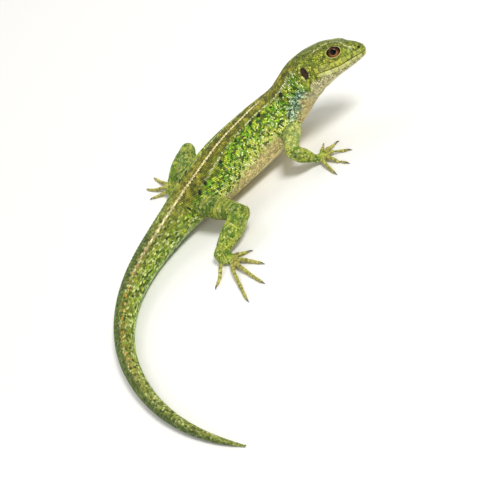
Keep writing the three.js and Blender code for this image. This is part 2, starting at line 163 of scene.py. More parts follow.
def hermite(t, a, b, leaving, arriving, width=1.0):
    """Cubic from a to b across a width, by its slopes at both ends."""
    return ((2 * t**3 - 3 * t**2 + 1) * a + (t**3 - 2 * t**2 + t) * width * leaving
            + (3 * t**2 - 2 * t**3) * b + (t**3 - t**2) * width * arriving)


def curve_through(xs, ys):
    """Shape-preserving cubic through a few values, without overshoot between them."""
    xs, ys = np.array(xs, float), np.array(ys, float)
    widths = np.diff(xs)
    slopes = np.diff(ys) / widths
    tangents = np.zeros(len(xs))
    tangents[0], tangents[-1] = slopes[0], slopes[-1]
    for i in range(1, len(xs) - 1):
        before, after = slopes[i - 1], slopes[i]
        if before * after > 0:
            early, late = 2 * widths[i] + widths[i - 1], widths[i] + 2 * widths[i - 1]
            tangents[i] = (early + late) / (early / before + late / after)

    def value(x):
        x = np.asarray(x, float)
        i = np.clip(np.searchsorted(xs, x, side="right") - 1, 0, len(xs) - 2)
        return hermite((x - xs[i]) / widths[i], ys[i], ys[i + 1], tangents[i], tangents[i + 1], widths[i])
    return value


def along_columns(where, at, columns):
    """Values between the rows of a table, by the place of each row."""
    return np.stack([np.interp(where, at, column) for column in columns.T], 1)


def nearest_row(points, rows, block=4000):
    """Index of the row that lies nearest to each point."""
    squares = (rows**2).sum(1)
    found = [np.argmin(squares - 2 * points[i:i + block] @ rows.T, axis=1)
             for i in range(0, len(points), block)]
    return np.concatenate(found)


def tree_of(points, names=None):
    """A tree that finds the points near a place, and tells them by their names or their order."""
    tree = KDTree(len(points))
    for name, point in zip(range(len(points)) if names is None else names, points):
        tree.insert(point, int(name))
    tree.balance()
    return tree


# ---- the animal's form

HIP_POINT = np.array([21.9, 9.5])  # place of the hips on the floor
HIP_STATION = 65.0  # distance of the hips behind the snout
SPINE_STEP = 0.25  # between the spine's points
SPINE_OVERRUN = 1.0  # of the spine past the snout and the tail's tip
SPINE_REACH = 0.6  # to each side over which the spine's direction is taken

# Distance behind the snout, heading to the left and height of the axis, roll of the top to the
# left, half width, size above and below the axis, and fullness of the upper and lower half.
STATION_COLUMNS = ("at", "heading", "height", "roll", "wide", "top", "bottom", "crown", "belly")
STATIONS = np.array([
    (0, -31, 17.9, 26, 1.5, 1.6, 1.0, 2.3, 2.2),
    (2, -31, 18.1, 26, 2.9, 3.0, 1.9, 2.6, 2.3),
    (5, -31, 18.35, 26, 4.0, 4.4, 2.9, 2.8, 2.4),
    (8, -31, 18.6, 26, 4.8, 5.5, 3.8, 2.8, 2.5),
    (11, -31, 18.75, 26, 5.4, 5.9, 4.8, 2.7, 2.5),
    (14, -31, 18.7, 25, 5.8, 5.8, 5.7, 2.6, 2.4),
    (17, -30, 18.2, 22, 5.7, 5.6, 6.4, 2.4, 2.3),
    (22, -26, 15.8, 14, 5.5, 5.6, 6.4, 2.2, 2.2),
    (27, -21, 13.0, 6, 6.0, 5.9, 6.4, 2.2, 2.3),
    (32, -15, 11.1, 1, 7.3, 6.4, 6.7, 2.2, 2.5),
    (39, -8.5, 9.7, 0, 8.4, 6.7, 7.0, 2.2, 2.6),
    (49, -2, 8.7, 0, 8.7, 6.8, 6.9, 2.2, 2.6),
    (59, 2, 7.7, 0, 7.8, 6.2, 6.3, 2.2, 2.6),
    (65, 4, 6.9, 0, 6.3, 5.6, 5.5, 2.1, 2.4),
    (71, 6.5, 5.9, 0, 5.2, 5.0, 4.8, 2.1, 2.2),
    (79, 14, 4.75, 0, 4.4, 4.4, 4.4, 2.1, 2.1),
    (91, 34, 3.75, 0, 3.6, 3.6, 3.7, 2.1, 2.1),
    (104, 59, 2.95, 0, 2.85, 2.9, 3.0, 2.1, 2.1),
    (119, 82.5, 2.35, 0, 2.35, 2.35, 2.4, 2.0, 2.0),
    (134, 97.5, 1.85, 0, 1.87, 1.87, 1.9, 2.0, 2.0),
    (149, 111.5, 1.32, 0, 1.35, 1.35, 1.37, 2.0, 2.0),
    (160, 121, 0.82, 0, 0.82, 0.8, 0.84, 2.0, 2.0),
    (168, 128, 0.27, 0, 0.24, 0.22, 0.25, 2.0, 2.0),
], float)
BODY = {name: curve_through(STATIONS[:, 0], STATIONS[:, i])
        for i, name in enumerate(STATION_COLUMNS)}
BODY_END = STATIONS[-1, 0]
SNOUT_ROUNDING = 0.52  # how far the snout bulges past station 0

MOUTH = curve_through([-0.6, 0, 2, 4, 7, 10, 12.9, 15], [0, 0, -0.15, -0.4, -0.85, -0.78, -0.4, -0.1])
MOUTH_CORNER = 12.9
EYE = {"behind": 7.15, "above": 2.72, "side": 2.55, "ball": 2.15, "long": 1.14, "low": 0.8}
EAR = {"behind": 14.95, "above": 1.1, "long": 0.75, "high": 1.6}
NOSTRIL = {"behind": 0.95, "above": 1.5, "radius": 0.22}

FORE_SIZES = {"root": 2.3, "belly": 2.45, "joint": 1.85, "shank": 2.05, "ankle": 1.2, "sole": 1.75,
              "digit": 0.52}
HIND_SIZES = {"root": 2.9, "belly": 3.1, "joint": 2.35, "shank": 2.75, "ankle": 1.75, "sole": 1.85,
              "digit": 0.56}

# Each leg's joints from root to wrist or ankle and the middle of its sole, as forward, left and
# height from the hips' point; and its digits as the tip, the root between ankle (0) and sole (1)
# and the bow to its left.
LEGS = {
    "fore_right": (FORE_SIZES, [(35.4, -5.2, 9.6), (28.4, -14.5, 7.7), (32.6, -16.0, 1.9)],
                   (34.6, -15.6, 0.87),
                   [(37.5, -10.6, 0.9, 0.3), (40.6, -14.2, 1, 0.3), (40.9, -20.8, 1, 0.4),
                    (37.7, -24.5, 0.9, -0.2), (33.3, -24.6, 0.6, -0.3)]),
    "fore_left": (FORE_SIZES, [(35.8, 5.2, 9.6), (27.6, 11.9, 6.4), (34.0, 13.2, 1.9)],
                  (35.7, 13.1, 0.87),
                  [(39.0, 8.3, 0.9, -0.3), (42.0, 11.9, 1, -0.3), (42.4, 17.9, 1, 0.4),
                   (39.4, 21.6, 0.9, 0.5), (34.8, 21.9, 0.6, 0.3)]),
    "hind_right": (HIND_SIZES, [(1.2, -3.6, 7.0), (8.4, -18.2, 6.2), (-3.3, -19.9, 2.1)],
                   (-1.7, -23.2, 0.92),
                   [(4.1, -25.4, 0.9, 0.3), (4.1, -32.6, 1, 0.2), (0.9, -38.4, 1, -0.3),
                    (-5.1, -39.7, 0.9, -0.4), (-9.8, -27.5, 0.1, 0.5)]),
    "hind_left": (HIND_SIZES, [(1.2, 3.6, 7.0), (8.9, 18.0, 8.6), (-2.3, 17.9, 2.1)],
                  (-1.3, 20.5, 0.92),
                  [(5.4, 23.2, 0.9, -0.3), (3.0, 28.2, 1, -0.2), (-4.0, 32.2, 1, 0.3),
                   (-8.0, 30.0, 0.9, 0.5), (-9.0, 24.4, 0.1, -0.5)]),
}
# Painted light and shade on whole lengths of the legs: lighter upper forelegs, darker forearms and thighs.
PAINTED_LEG_LIGHT_AND_SHADE = {("fore", "first"): 0.3, ("fore", "second"): -0.28, ("hind", "first"): -0.3}
MUSCLE_BELLY = 0.45  # where a limb is thickest, as a share of its length
PAD = {"overlap": 0.9, "reach": 0.75, "thick": 0.95, "edge": 0.55, "narrowing": 0.6}
# A digit's points: share of the way from the pad to the claw, share of its bow, and height.
DIGIT_ARCH = [(0, 0, 0.95), (0.3, 0.8, 1.2), (0.65, 1, 0.5), (1, 0.5, 0.42)]
DIGIT_ROOT = 0.55  # of the sole's half width, from the pad's middle
DIGIT_TIP_RADIUS = 0.36
DIGIT_SWELLING = 0.06  # of a digit's joints over its thickness between them
LONG_DIGIT = 9  # a digit that reaches further has one joint more
CLAW = {"length": 1.5, "hump": 0.5, "hump_share": 0.45, "base": 0.28, "point": 0.1, "height": 0.05}
DEPTH_OF_LEG_COAT = 0.12
DEPTH_OF_DIGIT_COAT = 0.07


def place(forward, left, height):
    return np.array([HIP_POINT[0] + left, HIP_POINT[1] - forward, height])


def walk_spine():
    """Points down the middle of the body from the snout to the tail's tip, and the axes there."""
    at = np.arange(-SPINE_OVERRUN, BODY_END + SPINE_OVERRUN + 1e-6, SPINE_STEP)
    station = np.clip(at, 0, BODY_END)
    heading = np.radians(BODY["heading"](station))
    height = BODY["height"](station)
    climb = BODY["height"](np.minimum(station + SPINE_STEP, BODY_END)) - height
    run = np.sqrt(SPINE_STEP**2 - climb**2)
    forward = -running_sum(np.cos(heading) * run)[:-1]
    left = -running_sum(np.sin(heading) * run)[:-1]
    hip = round((HIP_STATION + SPINE_OVERRUN) / SPINE_STEP)
    points = np.stack([HIP_POINT[0] + left - left[hip], HIP_POINT[1] - forward + forward[hip], height], 1)
    ahead = unit(along_columns(at - SPINE_REACH, at, points) - along_columns(at + SPINE_REACH, at, points))
    across = unit(np.cross([0, 0, 1], ahead))
    upright = np.cross(ahead, across)
    roll = np.radians(BODY["roll"](station))[:, None]
    return (points, ahead, across * np.cos(roll) - upright * np.sin(roll),
            upright * np.cos(roll) + across * np.sin(roll))


SPINE = walk_spine()


def axes_at(at):
    """The spine's point and the directions ahead, left and up at each station."""
    index = np.clip((np.asarray(at, float) + SPINE_OVERRUN) / SPINE_STEP, 0, len(SPINE[0]) - 1.001)
    low = index.astype(int)
    share = (index - low)[..., None]
    return [column[low] * (1 - share) + column[low + 1] * share for column in SPINE]


def section_reach(at, angle):
    """How far the body's outline lies from the axis, by angle from its left side up and over."""
    station = np.clip(at, 0, BODY_END)
    c, s = np.abs(np.cos(angle)), np.abs(np.sin(angle))
    upper = np.sin(angle) > 0
    full = np.where(upper, BODY["crown"](station), BODY["belly"](station))
    high = np.where(upper, BODY["top"](station), BODY["bottom"](station))
    reach = ((c / BODY["wide"](station))**full + (s / high)**full)**(-1 / full)
    return reach * np.sqrt(np.clip(1 - (np.minimum(at, 0) / SNOUT_ROUNDING)**2, 0.02, 1))


def body_point(at, angle, out=0.0):
    """A point on the body's outline, or out above it."""
    origin, _, left, up = axes_at(at)
    reach = (section_reach(at, angle) + out)[..., None]
    return origin + reach * (np.cos(angle)[..., None] * left + np.sin(angle)[..., None] * up)


# Half girths by station, and the angle at each share of the way from the back's middle to the belly's.
GIRTH_AT = np.arange(0, BODY_END + 0.6, 0.5)
GIRTH_ANGLE = np.linspace(math.pi / 2, -math.pi / 2, 241)
SHARES = np.linspace(0, 1, 201)


def measure_girths():
    at, angle = np.meshgrid(np.minimum(GIRTH_AT, BODY_END), GIRTH_ANGLE, indexing="ij")
    reach = section_reach(at, angle)
    outline = np.stack([reach * np.cos(angle), reach * np.sin(angle)], -1)
    steps = np.linalg.norm(np.diff(outline, axis=1), axis=2)
    arcs = np.concatenate([np.zeros((len(at), 1)), np.cumsum(steps, 1)], 1)
    shares = arcs / arcs[:, -1:]
    angles = np.stack([np.interp(SHARES, row, GIRTH_ANGLE) for row in shares])
    return arcs[:, -1], shares, angles


HALF_GIRTHS, SHARE_TABLE, ANGLE_TABLE = measure_girths()


def read_table(table, at, column):
    """Value between the cells of a table, by station and by column number."""
    row = np.clip(np.asarray(at, float) / GIRTH_AT[1], 0, len(GIRTH_AT) - 1.001)
    column = np.clip(column, 0, table.shape[1] - 1.001)
    r, c = row.astype(int), column.astype(int)
    y, x = row - r, column - c
    return ((table[r, c] * (1 - x) + table[r, c + 1] * x) * (1 - y)
            + (table[r + 1, c] * (1 - x) + table[r + 1, c + 1] * x) * y)


def half_girth(at):
    return np.interp(at, GIRTH_AT, HALF_GIRTHS)


def angle_of(at, turn):
    """Angle at a turn round the body: 0 on the back's middle, 1 under the belly by the left side."""
    half = read_table(ANGLE_TABLE, at, np.abs(turn) * (len(SHARES) - 1))
    return np.where(turn >= 0, half, math.pi - half)


def turn_of(at, angle):
    folded = np.arctan2(np.sin(angle), np.abs(np.cos(angle)))
    share = read_table(SHARE_TABLE, at, (math.pi / 2 - folded) / math.pi * (len(GIRTH_ANGLE) - 1))
    return np.where(np.cos(angle) >= 0, share, -share)


# How far the coat is turned round the body, in half turns to the left, as it walks and looks round.
TWIST = curve_through([0, 14, 22, 35, 44, 52, 59, 66, 78, 105, 140, 168],
                      [0, 0, 0.03, 0.05, 0.018, -0.04, -0.08, -0.11, -0.13, -0.13, -0.1, -0.1])


def once_round(turn):
    """The same turn, between -1 and 1."""
    return (turn + 1) % 2 - 1


def coat_turn(at, angle):
    """Turn round the coat: 0 on the pale stripe down the back, and 1 or -1 under the belly."""
    return once_round(turn_of(at, angle) - TWIST(np.clip(at, 0, BODY_END)))


def coat_point(at, turn):
    """The point of the body's outline at a station and a turn round the coat."""
    station = np.clip(at, 0, BODY_END)
    return body_point(at, angle_of(station, once_round(turn + TWIST(station))))


def locate_on_body(points):
    """Station, angle, height over the outline, and way left and up from the spine of each point."""
    at = nearest_row(points, SPINE[0]) * SPINE_STEP - SPINE_OVERRUN
    for _ in range(4):
        origin, ahead, _, _ = axes_at(at)
        at = np.clip(at - dots(points - origin, ahead), -0.9 * SNOUT_ROUNDING, BODY_END + 0.3)
    origin, _, left, up = axes_at(at)
    across, above = dots(points - origin, left), dots(points - origin, up)
    angle = np.arctan2(above, across)
    return at, angle, np.hypot(across, above) - section_reach(at, angle), across, above


class Tube:
    """A length of a leg or digit: the line down its middle and its half sizes along it."""

    def __init__(self, line, wide, high, start, kind, leg):
        self.line, self.wide, self.high = line, wide, high
        self.kind, self.leg = kind, leg
        self.run = start + way_along(line)
        self.along = unit(np.gradient(line, axis=0))
        across = line[-1] - line[0]
        level = unit(np.array([-across[1], across[0], 0.0]))
        self.side = unit(level - self.along * (self.along @ level)[:, None])
        self.up = np.cross(self.along, self.side)

    def aside(self, points, row):
        """How far points lie beside and over their own steps of the line."""
        offset = points - self.line[row]
        return dots(offset, self.side[row]), dots(offset, self.up[row])

    def locate(self, points):
        """Nearest step, turn from the top and height over the outline of each point."""
        row = nearest_row(points, self.line)
        across, upward = self.aside(points, row)
        beyond = dots(points - self.line[row], self.along[row])
        beyond = np.where((row == 0) | (row == len(self.line) - 1), beyond, 0)
        reach = np.hypot(across, upward)
        share = np.hypot(across / self.wide[row], upward / self.high[row])
        gap = np.where(share > 1e-6, reach - reach / np.maximum(share, 1e-6), -self.high[row])
        gap = np.where(np.abs(beyond) > 0.05, np.hypot(np.maximum(gap, 0), beyond), gap)
        return row, np.arctan2(across, upward) / math.pi, gap

    def rings(self, sides, inset):
        """Rings of points on the tube's outline, a coat's depth inside it."""
        wide, high = [np.maximum(half - inset, half * 0.5)[:, None, None]
                      for half in (self.wide, self.high)]
        angle = full_turn(sides)[:, None]
        return (self.line[:, None] + self.side[:, None] * np.cos(angle) * wide
                + self.up[:, None] * np.sin(angle) * high)


def slope(a, b, c, before, after):
    """Slope at b of a curve through three points, by the spans before and after it."""
    return (b - a) / before - (c - a) / (before + after) + (c - b) / after


def curve_by_points(points, count):
    """Centripetal curve through points, as evenly spaced points along it."""
    p = np.array(points, float)
    p = np.concatenate([[2 * p[0] - p[1]], p, [2 * p[-1] - p[-2]]])
    t = np.linspace(0, 1, 40, endpoint=False)[:, None]
    out = []
    for i in range(1, len(p) - 2):
        knots = [max(np.linalg.norm(p[i + k] - p[i + k - 1])**0.5, 1e-4) for k in range(3)]
        leaving, arriving = [slope(*p[i + k - 1:i + k + 2], *knots[k:k + 2]) * knots[1] for k in (0, 1)]
        out.append(hermite(t, p[i], p[i + 1], leaving, arriving))
    fine = np.concatenate(out + [p[-2:-1]])
    way = way_along(fine)
    return along_columns(np.linspace(0, way[-1], count), way, fine)


def limb_tube(start, end, radii, run, kind, leg):
    """A muscle between two joints: thick in its belly, rounded off past both of its ends."""
    r0, r1, r2 = radii
    along = unit(end - start)
    line = np.linspace(start - along * r0, end + along * r2, 61)
    full = np.linalg.norm(line[-1] - line[0])
    x = np.linspace(0, full, len(line))
    profile = curve_through([0, r0, full * MUSCLE_BELLY, full - r2, full], [r0, r0, r1, r2, r2])(x)
    rounding = lambda inward: np.sqrt(np.maximum(1 - np.maximum(1 - inward, 0)**2, 0.02))
    radius = profile * rounding(x / r0) * rounding((full - x) / r2)
    return Tube(line, radius, radius, run - r0, kind, leg)


def foot_tube(ankle, sole, sizes, run, leg):
    along = unit((sole - ankle) * [1, 1, 0])
    line = curve_by_points([ankle - along * PAD["overlap"], (ankle + sole) / 2, sole,
                            sole + along * sizes["sole"] * PAD["reach"]], 41)
    t = np.linspace(0, 1, len(line))
    ways = [0, 0.3, 0.75, 1]
    wide = curve_through(ways, [sizes["ankle"], sizes["ankle"] * 1.1, sizes["sole"],
                                sizes["sole"] * PAD["narrowing"]])(t)
    high = curve_through(ways, [sizes["ankle"], sizes["ankle"], PAD["thick"], PAD["edge"]])(t)
    return Tube(line, wide, high, run, "foot", leg)


def digit_tube(tip, root, bow, ankle, sole, sizes, run, leg):
    """A digit from the pad to its claw's base, with the curve of the claw kept beside it."""
    start = ankle + (sole - ankle) * root
    tip = place(*tip, CLAW["height"])
    reach = np.linalg.norm((tip - start)[:2])
    along = unit((tip - start) * [1, 1, 0])
    side = np.array([-along[1], along[0], 0])

    def on_way(distance, share, height):
        return [*(start + along * distance + side * bow * share)[:2], height]
    base = sizes["sole"] * DIGIT_ROOT
    claw_base = reach - CLAW["length"]
    points = [on_way(base + (claw_base - base) * share, b, height) for share, b, height in DIGIT_ARCH]
    share = CLAW["hump_share"]
    points += [on_way(claw_base + CLAW["length"] * share, share / 2, CLAW["hump"]), tip]
    count = 121
    line = curve_by_points(points, count)
    t = np.linspace(0, 1, count)
    claw_at = 1 - CLAW["length"] / (reach - base)
    radius = curve_through([0, 0.3, claw_at, claw_at + 0.04, 1],
                           [sizes["digit"], sizes["digit"] * 0.95, DIGIT_TIP_RADIUS, CLAW["base"],
                            CLAW["point"]])(t)
    joints = 4.5 if reach > LONG_DIGIT else 3.5
    radius = radius * (1 + DIGIT_SWELLING * np.cos(2 * math.pi * joints * t / claw_at))
    cut = int(count * claw_at) + 2
    skin = Tube(line[:cut], radius[:cut], radius[:cut], run, "digit", leg)
    skin.claw = line[cut - 5:]
    return skin


def build_tubes():
    tubes = []
    for leg, (sizes, joints, sole, digits) in enumerate(LEGS.values()):
        root, bend, ankle = [place(*joint) for joint in joints]
        pad = place(*sole)
        first = [sizes[k] for k in ("root", "belly", "joint")]
        second = [sizes[k] for k in ("joint", "shank", "ankle")]
        upper = np.linalg.norm(bend - root)
        lower = upper + np.linalg.norm(ankle - bend)
        tubes += [limb_tube(root, bend, first, 0, "first", leg),
                  limb_tube(bend, ankle, second, upper, "second", leg),
                  foot_tube(ankle, pad, sizes, lower, leg)]
        tubes += [digit_tube(tip, share, bow, ankle, pad, sizes, lower + 3, leg)
                  for *tip, share, bow in digits]
    return tubes


TUBES = build_tubes()


# ---- meshes from arrays

def make_mesh(name, points, loops, sizes):
    """A mesh from points in millimetres, corner indices and the number of corners per face."""
    mesh = bpy.data.meshes.new(name)
    mesh.vertices.add(len(points))
    mesh.vertices.foreach_set("co", (np.asarray(points, float) * MM).ravel())
    mesh.loops.add(len(loops))
    mesh.loops.foreach_set("vertex_index", np.asarray(loops, np.int32))
    mesh.polygons.add(len(sizes))
    mesh.polygons.foreach_set("loop_start", running_sum(sizes)[:-1].astype(np.int32))
    mesh.polygons.foreach_set("use_smooth", np.ones(len(sizes), bool))
    mesh.update(calc_edges=True)
    mesh.validate()
    return mesh


def read_items(items, key, width=1, kind=float):
    """One property of a mesh's points, corners, edges or faces, as an array."""
    values = np.empty(len(items) * width, kind)
    items.foreach_get(key, values)
    return values.reshape(-1, width) if width > 1 else values


def read_mesh(mesh):
    """Points in millimetres, corner indices and face sizes of a mesh."""
    return (read_items(mesh.vertices, "co", 3) / MM, read_items(mesh.loops, "vertex_index", kind=np.int32),
            read_items(mesh.polygons, "loop_total", kind=np.int32))


def read_edges(mesh):
    return read_items(mesh.edges, "vertices", 2, np.int32)


def read_normals(mesh):
    return read_items(mesh.vertex_normals, "vector", 3)


def write_vectors(mesh, **values):
    """Keeps vectors on a mesh's points, under the names by which the materials read them."""
    for name, rows in values.items():
        attribute = mesh.attributes.new(name, "FLOAT_VECTOR", "POINT")
        attribute.data.foreach_set("vector", np.asarray(rows, np.float32).ravel())


def put_in_scene(name, data):
    """An object of that mesh, camera or light."""
    made = bpy.data.objects.new(name, data)
    bpy.context.scene.collection.objects.link(made)
    return made


def show(name, mesh, material, slot, *replaced):
    """A piece of that mesh and material that rides on the model's one body."""
    piece = put_in_scene(name, mesh)
    mesh.materials.append(material)
    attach(piece, "root")
    if replaced:
        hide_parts(*replaced)


def wall_quads(rings, sides):
    """Corners of the quads between rings of points that follow each other."""
    r, s = np.meshgrid(np.arange(rings - 1), np.arange(sides), indexing="ij")
    n = (s + 1) % sides
    return np.stack([r * sides + s, r * sides + n, (r + 1) * sides + n, (r + 1) * sides + s], -1).ravel()


def closed_tube(grid):
    """A shell of rings of points that follow each other, with a fan's middle at each end."""
    rings, sides = grid.shape[:2]
    quads = wall_quads(rings, sides)
    s = np.arange(sides)
    n = (s + 1) % sides
    last = (rings - 1) * sides
    fans = [np.stack([n, s, np.full(sides, rings * sides)], 1),
            np.stack([last + s, last + n, np.full(sides, rings * sides + 1)], 1)]
    points = np.concatenate([grid.reshape(-1, 3), grid[:1].mean(1), grid[-1:].mean(1)])
    return (points, np.concatenate([quads, *[fan.ravel() for fan in fans]]),
            np.concatenate([np.full(quads.size // 4, 4), np.full(2 * sides, 3)]))


def join_shells(shells):
    """Several shells of points, corners and face sizes as one."""
    points, loops, sizes = zip(*shells)
    starts = running_sum([len(rows) for rows in points])
    loops = [corners + start for corners, start in zip(loops, starts)]
    return np.concatenate(points), np.concatenate(loops), np.concatenate(sizes)


# ---- the skin

SKIN_LEVEL = 0.03  # lowest height of the skin's points over the floor
HEAD_END = 17.5  # the skin's faces are smaller from here forward
BODY_SIDES, TUBE_SIDES = 96, 24


def coat_depth(at):
    full = bpy.context.scene.lizard_coat.coat_depth / MM
    share = curve_through([0, 18, 30, 68, 110, 140, 168], [0.75, 0.9, 1, 1, 0.8, 0.5, 0.25])
    return full * share(np.clip(at, 0, BODY_END))


def cast_form():
    """The whole animal as overlapping closed lengths, merged into one even net of faces.

    The digits are cast a little thick here, and fitted later, so that the net doesn't tear them.
    """
    at = np.concatenate([[-0.5, -0.44, -0.3, -0.15], np.arange(0, BODY_END + 0.2, 0.4)])
    at, angle = np.meshgrid(at, full_turn(BODY_SIDES), indexing="ij")
    shells = [closed_tube(body_point(at, angle, -coat_depth(at))[::-1])]
    for tube in TUBES:
        inset = DEPTH_OF_LEG_COAT
        if tube.kind == "digit":
            inset = -0.04 - 0.22 * smooth(0.1, 0.6, np.linspace(0, 1, len(tube.line)))
        shells.append(closed_tube(tube.rings(TUBE_SIDES, inset)))
    mesh = make_mesh("form", *join_shells(shells))
    mesh.transform(Matrix.Scale(1 / MM, 4))
    form = put_in_scene("form", mesh)
    remesh = form.modifiers.new("Even net", "REMESH")
    remesh.mode = "VOXEL"
    remesh.voxel_size = bpy.context.scene.lizard_coat.skin_step / MM
    graph = bpy.context.evaluated_depsgraph_get()
    net = bpy.data.meshes.new_from_object(form.evaluated_get(graph))
    net.transform(Matrix.Scale(MM, 4))
    bpy.data.objects.remove(form)
    return net


def survey(points):
    """Which part owns each point and where on it the point lies.

    Gives owner (-1 for the body), station or run, turn, gap over the next part, and the direction
    of growth along the body or leg, towards the tail or the claws.
    """
    way, angle, gap = locate_on_body(points)[:3]
    turn = turn_of(way, angle)
    rear = -axes_at(way)[1]
    owner = np.full(len(points), -1)
    second = np.full(len(points), 9.0)
    for number, tube in enumerate(TUBES):
        margin = tube.wide.max() + 2.5
        low, high = tube.line.min(0) - margin, tube.line.max(0) + margin
        near = np.flatnonzero(((points > low) & (points < high)).all(1))
        if not len(near):
            continue
        row, turned, over = tube.locate(points[near])
        closer = over < gap[near]
        second[near] = np.where(closer, gap[near], np.minimum(second[near], over))
        chosen, row = near[closer], row[closer]
        owner[chosen] = number
        way[chosen], turn[chosen], gap[chosen] = tube.run[row], turned[closer], over[closer]
        rear[chosen] = tube.along[row]
    return owner, way, turn, second, rear


def relax(values, edges, weight, rounds):
    """Draws each point's values towards the mean of its neighbours', by the point's weight."""
    a, b = edges[:, 0], edges[:, 1]
    count = len(values)
    degree = np.maximum(np.bincount(a, minlength=count) + np.bincount(b, minlength=count), 1)
    weight = np.broadcast_to(weight, count)[:, None]
    for _ in range(rounds):
        mean = np.stack([np.bincount(a, column[b], count) + np.bincount(b, column[a], count)
                         for column in values.T], 1) / degree[:, None]
        values = values + (mean - values) * weight
    return values


def fit_to_form(points):
    """Moves points onto the outline of the part that owns them, where no other part is near.

    Gives the points and how far each one is free of other parts.
    """
    owner, _, _, second, _ = survey(points)
    fitted = points.copy()
    rows = np.flatnonzero(owner < 0)
    at, angle = locate_on_body(points[rows])[:2]
    fitted[rows] = body_point(at, angle, -coat_depth(at))
    free = smooth(0.6, 1.8, second)
    free[rows] *= smooth(-0.05, 0.25, at) * (1 - smooth(BODY_END - 0.6, BODY_END, at))
    for number in np.unique(owner[owner >= 0]):
        tube = TUBES[number]
        rows = np.flatnonzero(owner == number)
        row = tube.locate(points[rows])[0]
        across, upward = tube.aside(points[rows], row)
        share = np.maximum(np.hypot(across / tube.wide[row], upward / tube.high[row]), 0.2)
        inset, reach = DEPTH_OF_LEG_COAT, 1.6
        if tube.kind == "digit":
            inset, reach = DEPTH_OF_DIGIT_COAT, 0.5
        shrink = (1 - inset / np.maximum(tube.high[row], 0.2)) / share
        fitted[rows] = tube.line[row] + (points[rows] - tube.line[row]) * shrink[:, None]
        inner = (row > 0) & (row < len(tube.line) - 1)
        free[rows] = smooth(0.25 * reach, reach, second[rows]) * inner
    return points + (fitted - points) * free[:, None], free


def split_faces(mesh, chosen):
    """Cuts the chosen faces in four."""
    work = bmesh.new()
    work.from_mesh(mesh)
    work.faces.ensure_lookup_table()
    edges = {edge for i in np.flatnonzero(chosen) for edge in work.faces[i].edges}
    bmesh.ops.subdivide_edges(work, edges=list(edges), cuts=1, use_grid_fill=True)
    work.to_mesh(mesh)
    work.free()


def face_middles(mesh):
    points, loops, sizes = read_mesh(mesh)
    return np.add.reduceat(points[loops], running_sum(sizes)[:-1], axis=0) / sizes[:, None]


SIDES = {"right": -1, "left": 1}


def head_axes():
    """The eye's centre and the directions out of it, ahead and up, for the right and left side."""
    origin, ahead, left, up = axes_at(EYE["behind"])
    eyes = {}
    for name, side in SIDES.items():
        centre = origin + left * side * EYE["side"] + up * EYE["above"]
        out = unit(left * side + ahead * 0.16 + up * 0.12)
        forward = unit(ahead - out * (ahead @ out))
        rise = unit(up - out * (up @ out) - forward * (up @ forward))
        eyes[name] = (centre, out, forward, rise)
    return eyes


EYES = head_axes()
# How far the lids stand out of the eye's middle, by the distance from its middle line.
LID_WAYS = [0, 1.42, 1.6, 1.75, 2.0, 2.2, 2.5, 3.4]
LOWER_LID = curve_through(LID_WAYS, [0.9, 1.05, 1.50, 1.68, 1.66, 1.5, 1.62, 1.75])
UPPER_LID = curve_through(LID_WAYS, [0.9, 1.05, 1.52, 1.62, 1.46, 1.34, 1.2, 0.3])
# The folds of the neck, as station at half a turn and depth, and how far they lean to the tail.
NECK_FOLDS = ((20.4, 0.12), (22.4, 0.15), (24.3, 0.16), (26.0, 0.12))
NECK_LEAN = 11.0


def round_eye(points, eye):
    """Distance from the eye's middle line, as half heights of its oval, height out of it, and rise."""
    centre, out, forward, rise = eye
    offset = points - centre
    ahead, up = offset @ forward, offset @ rise
    return np.hypot(ahead / EYE["long"], up / EYE["low"]), offset @ out, up


def round_ear(at, above):
    """Distance from the ear's middle, as shares of its oval."""
    return np.hypot((at - EAR["behind"]) / EAR["long"], (above - EAR["above"]) / EAR["high"])


def round_nostril(at, above):
    return np.hypot(at - NOSTRIL["behind"], above - NOSTRIL["above"])


def over_mouth(at, above):
    """Height over the line between the lips."""
    return above - MOUTH(np.clip(at, -0.6, 15))


def shape_lids(points):
    for eye in EYES.values():
        oval, out, up = round_eye(points, eye)
        rows = np.flatnonzero((oval < 3.3) & (out > -1.2))
        oval, out, up = oval[rows], out[rows], up[rows]
        upper = smooth(-0.3, 0.9, up / np.maximum(oval, 0.3))
        target = LOWER_LID(oval) * (1 - upper) + UPPER_LID(oval) * upper
        keep = smooth(2.15, 3.1, oval)
        points[rows] += eye[1] * ((target - out) * (1 - keep))[:, None]
    return points


def shape_head(points, normals):
    """Mouth, nostrils, ear openings, lids, and the folds of the throat and neck."""
    at, angle, _, across, above = locate_on_body(points)
    down = np.abs(turn_of(at, angle))
    line = over_mouth(at, above)
    inward = 0.2 * bump(0, 0.13, line) * (1 - smooth(MOUTH_CORNER - 0.6, MOUTH_CORNER + 0.5, at))
    inward += 0.2 * bump(4.0, 1.3, at) * bump(1.9, 0.7, above) * (np.abs(across) > 1.5)
    inward -= 0.06 * bump(0.5, 0.3, line) * (1 - smooth(10, 13, at))
    nostril = round_nostril(at, above)
    inward += 0.42 * (1 - smooth(0.6, 1.35, nostril / NOSTRIL["radius"]))
    inward -= 0.06 * bump(0.36, 0.1, nostril)
    ear = round_ear(at, above)
    inward += 1.1 * (1 - smooth(0.72, 1.08, ear)) - 0.1 * bump(1.35, 0.18, ear)
    inward += 0.2 * smooth(0.55, 0.8, down) * bump(19.2, 0.35, at)
    inward += 0.3 * smooth(0.5, 0.62, down) * bump(27.2, 0.4, at)
    side = smooth(0.3, 0.42, down) * (1 - smooth(0.66, 0.8, down))
    for fold, depth in NECK_FOLDS:
        inward += depth * side * bump(fold, 0.38, at + NECK_LEAN * (down - 0.5))
    inward += 0.1 * bump(0.62, 0.03, down) * smooth(36, 40, at) * (1 - smooth(58, 62, at))
    return shape_lids(points - normals * inward[:, None])


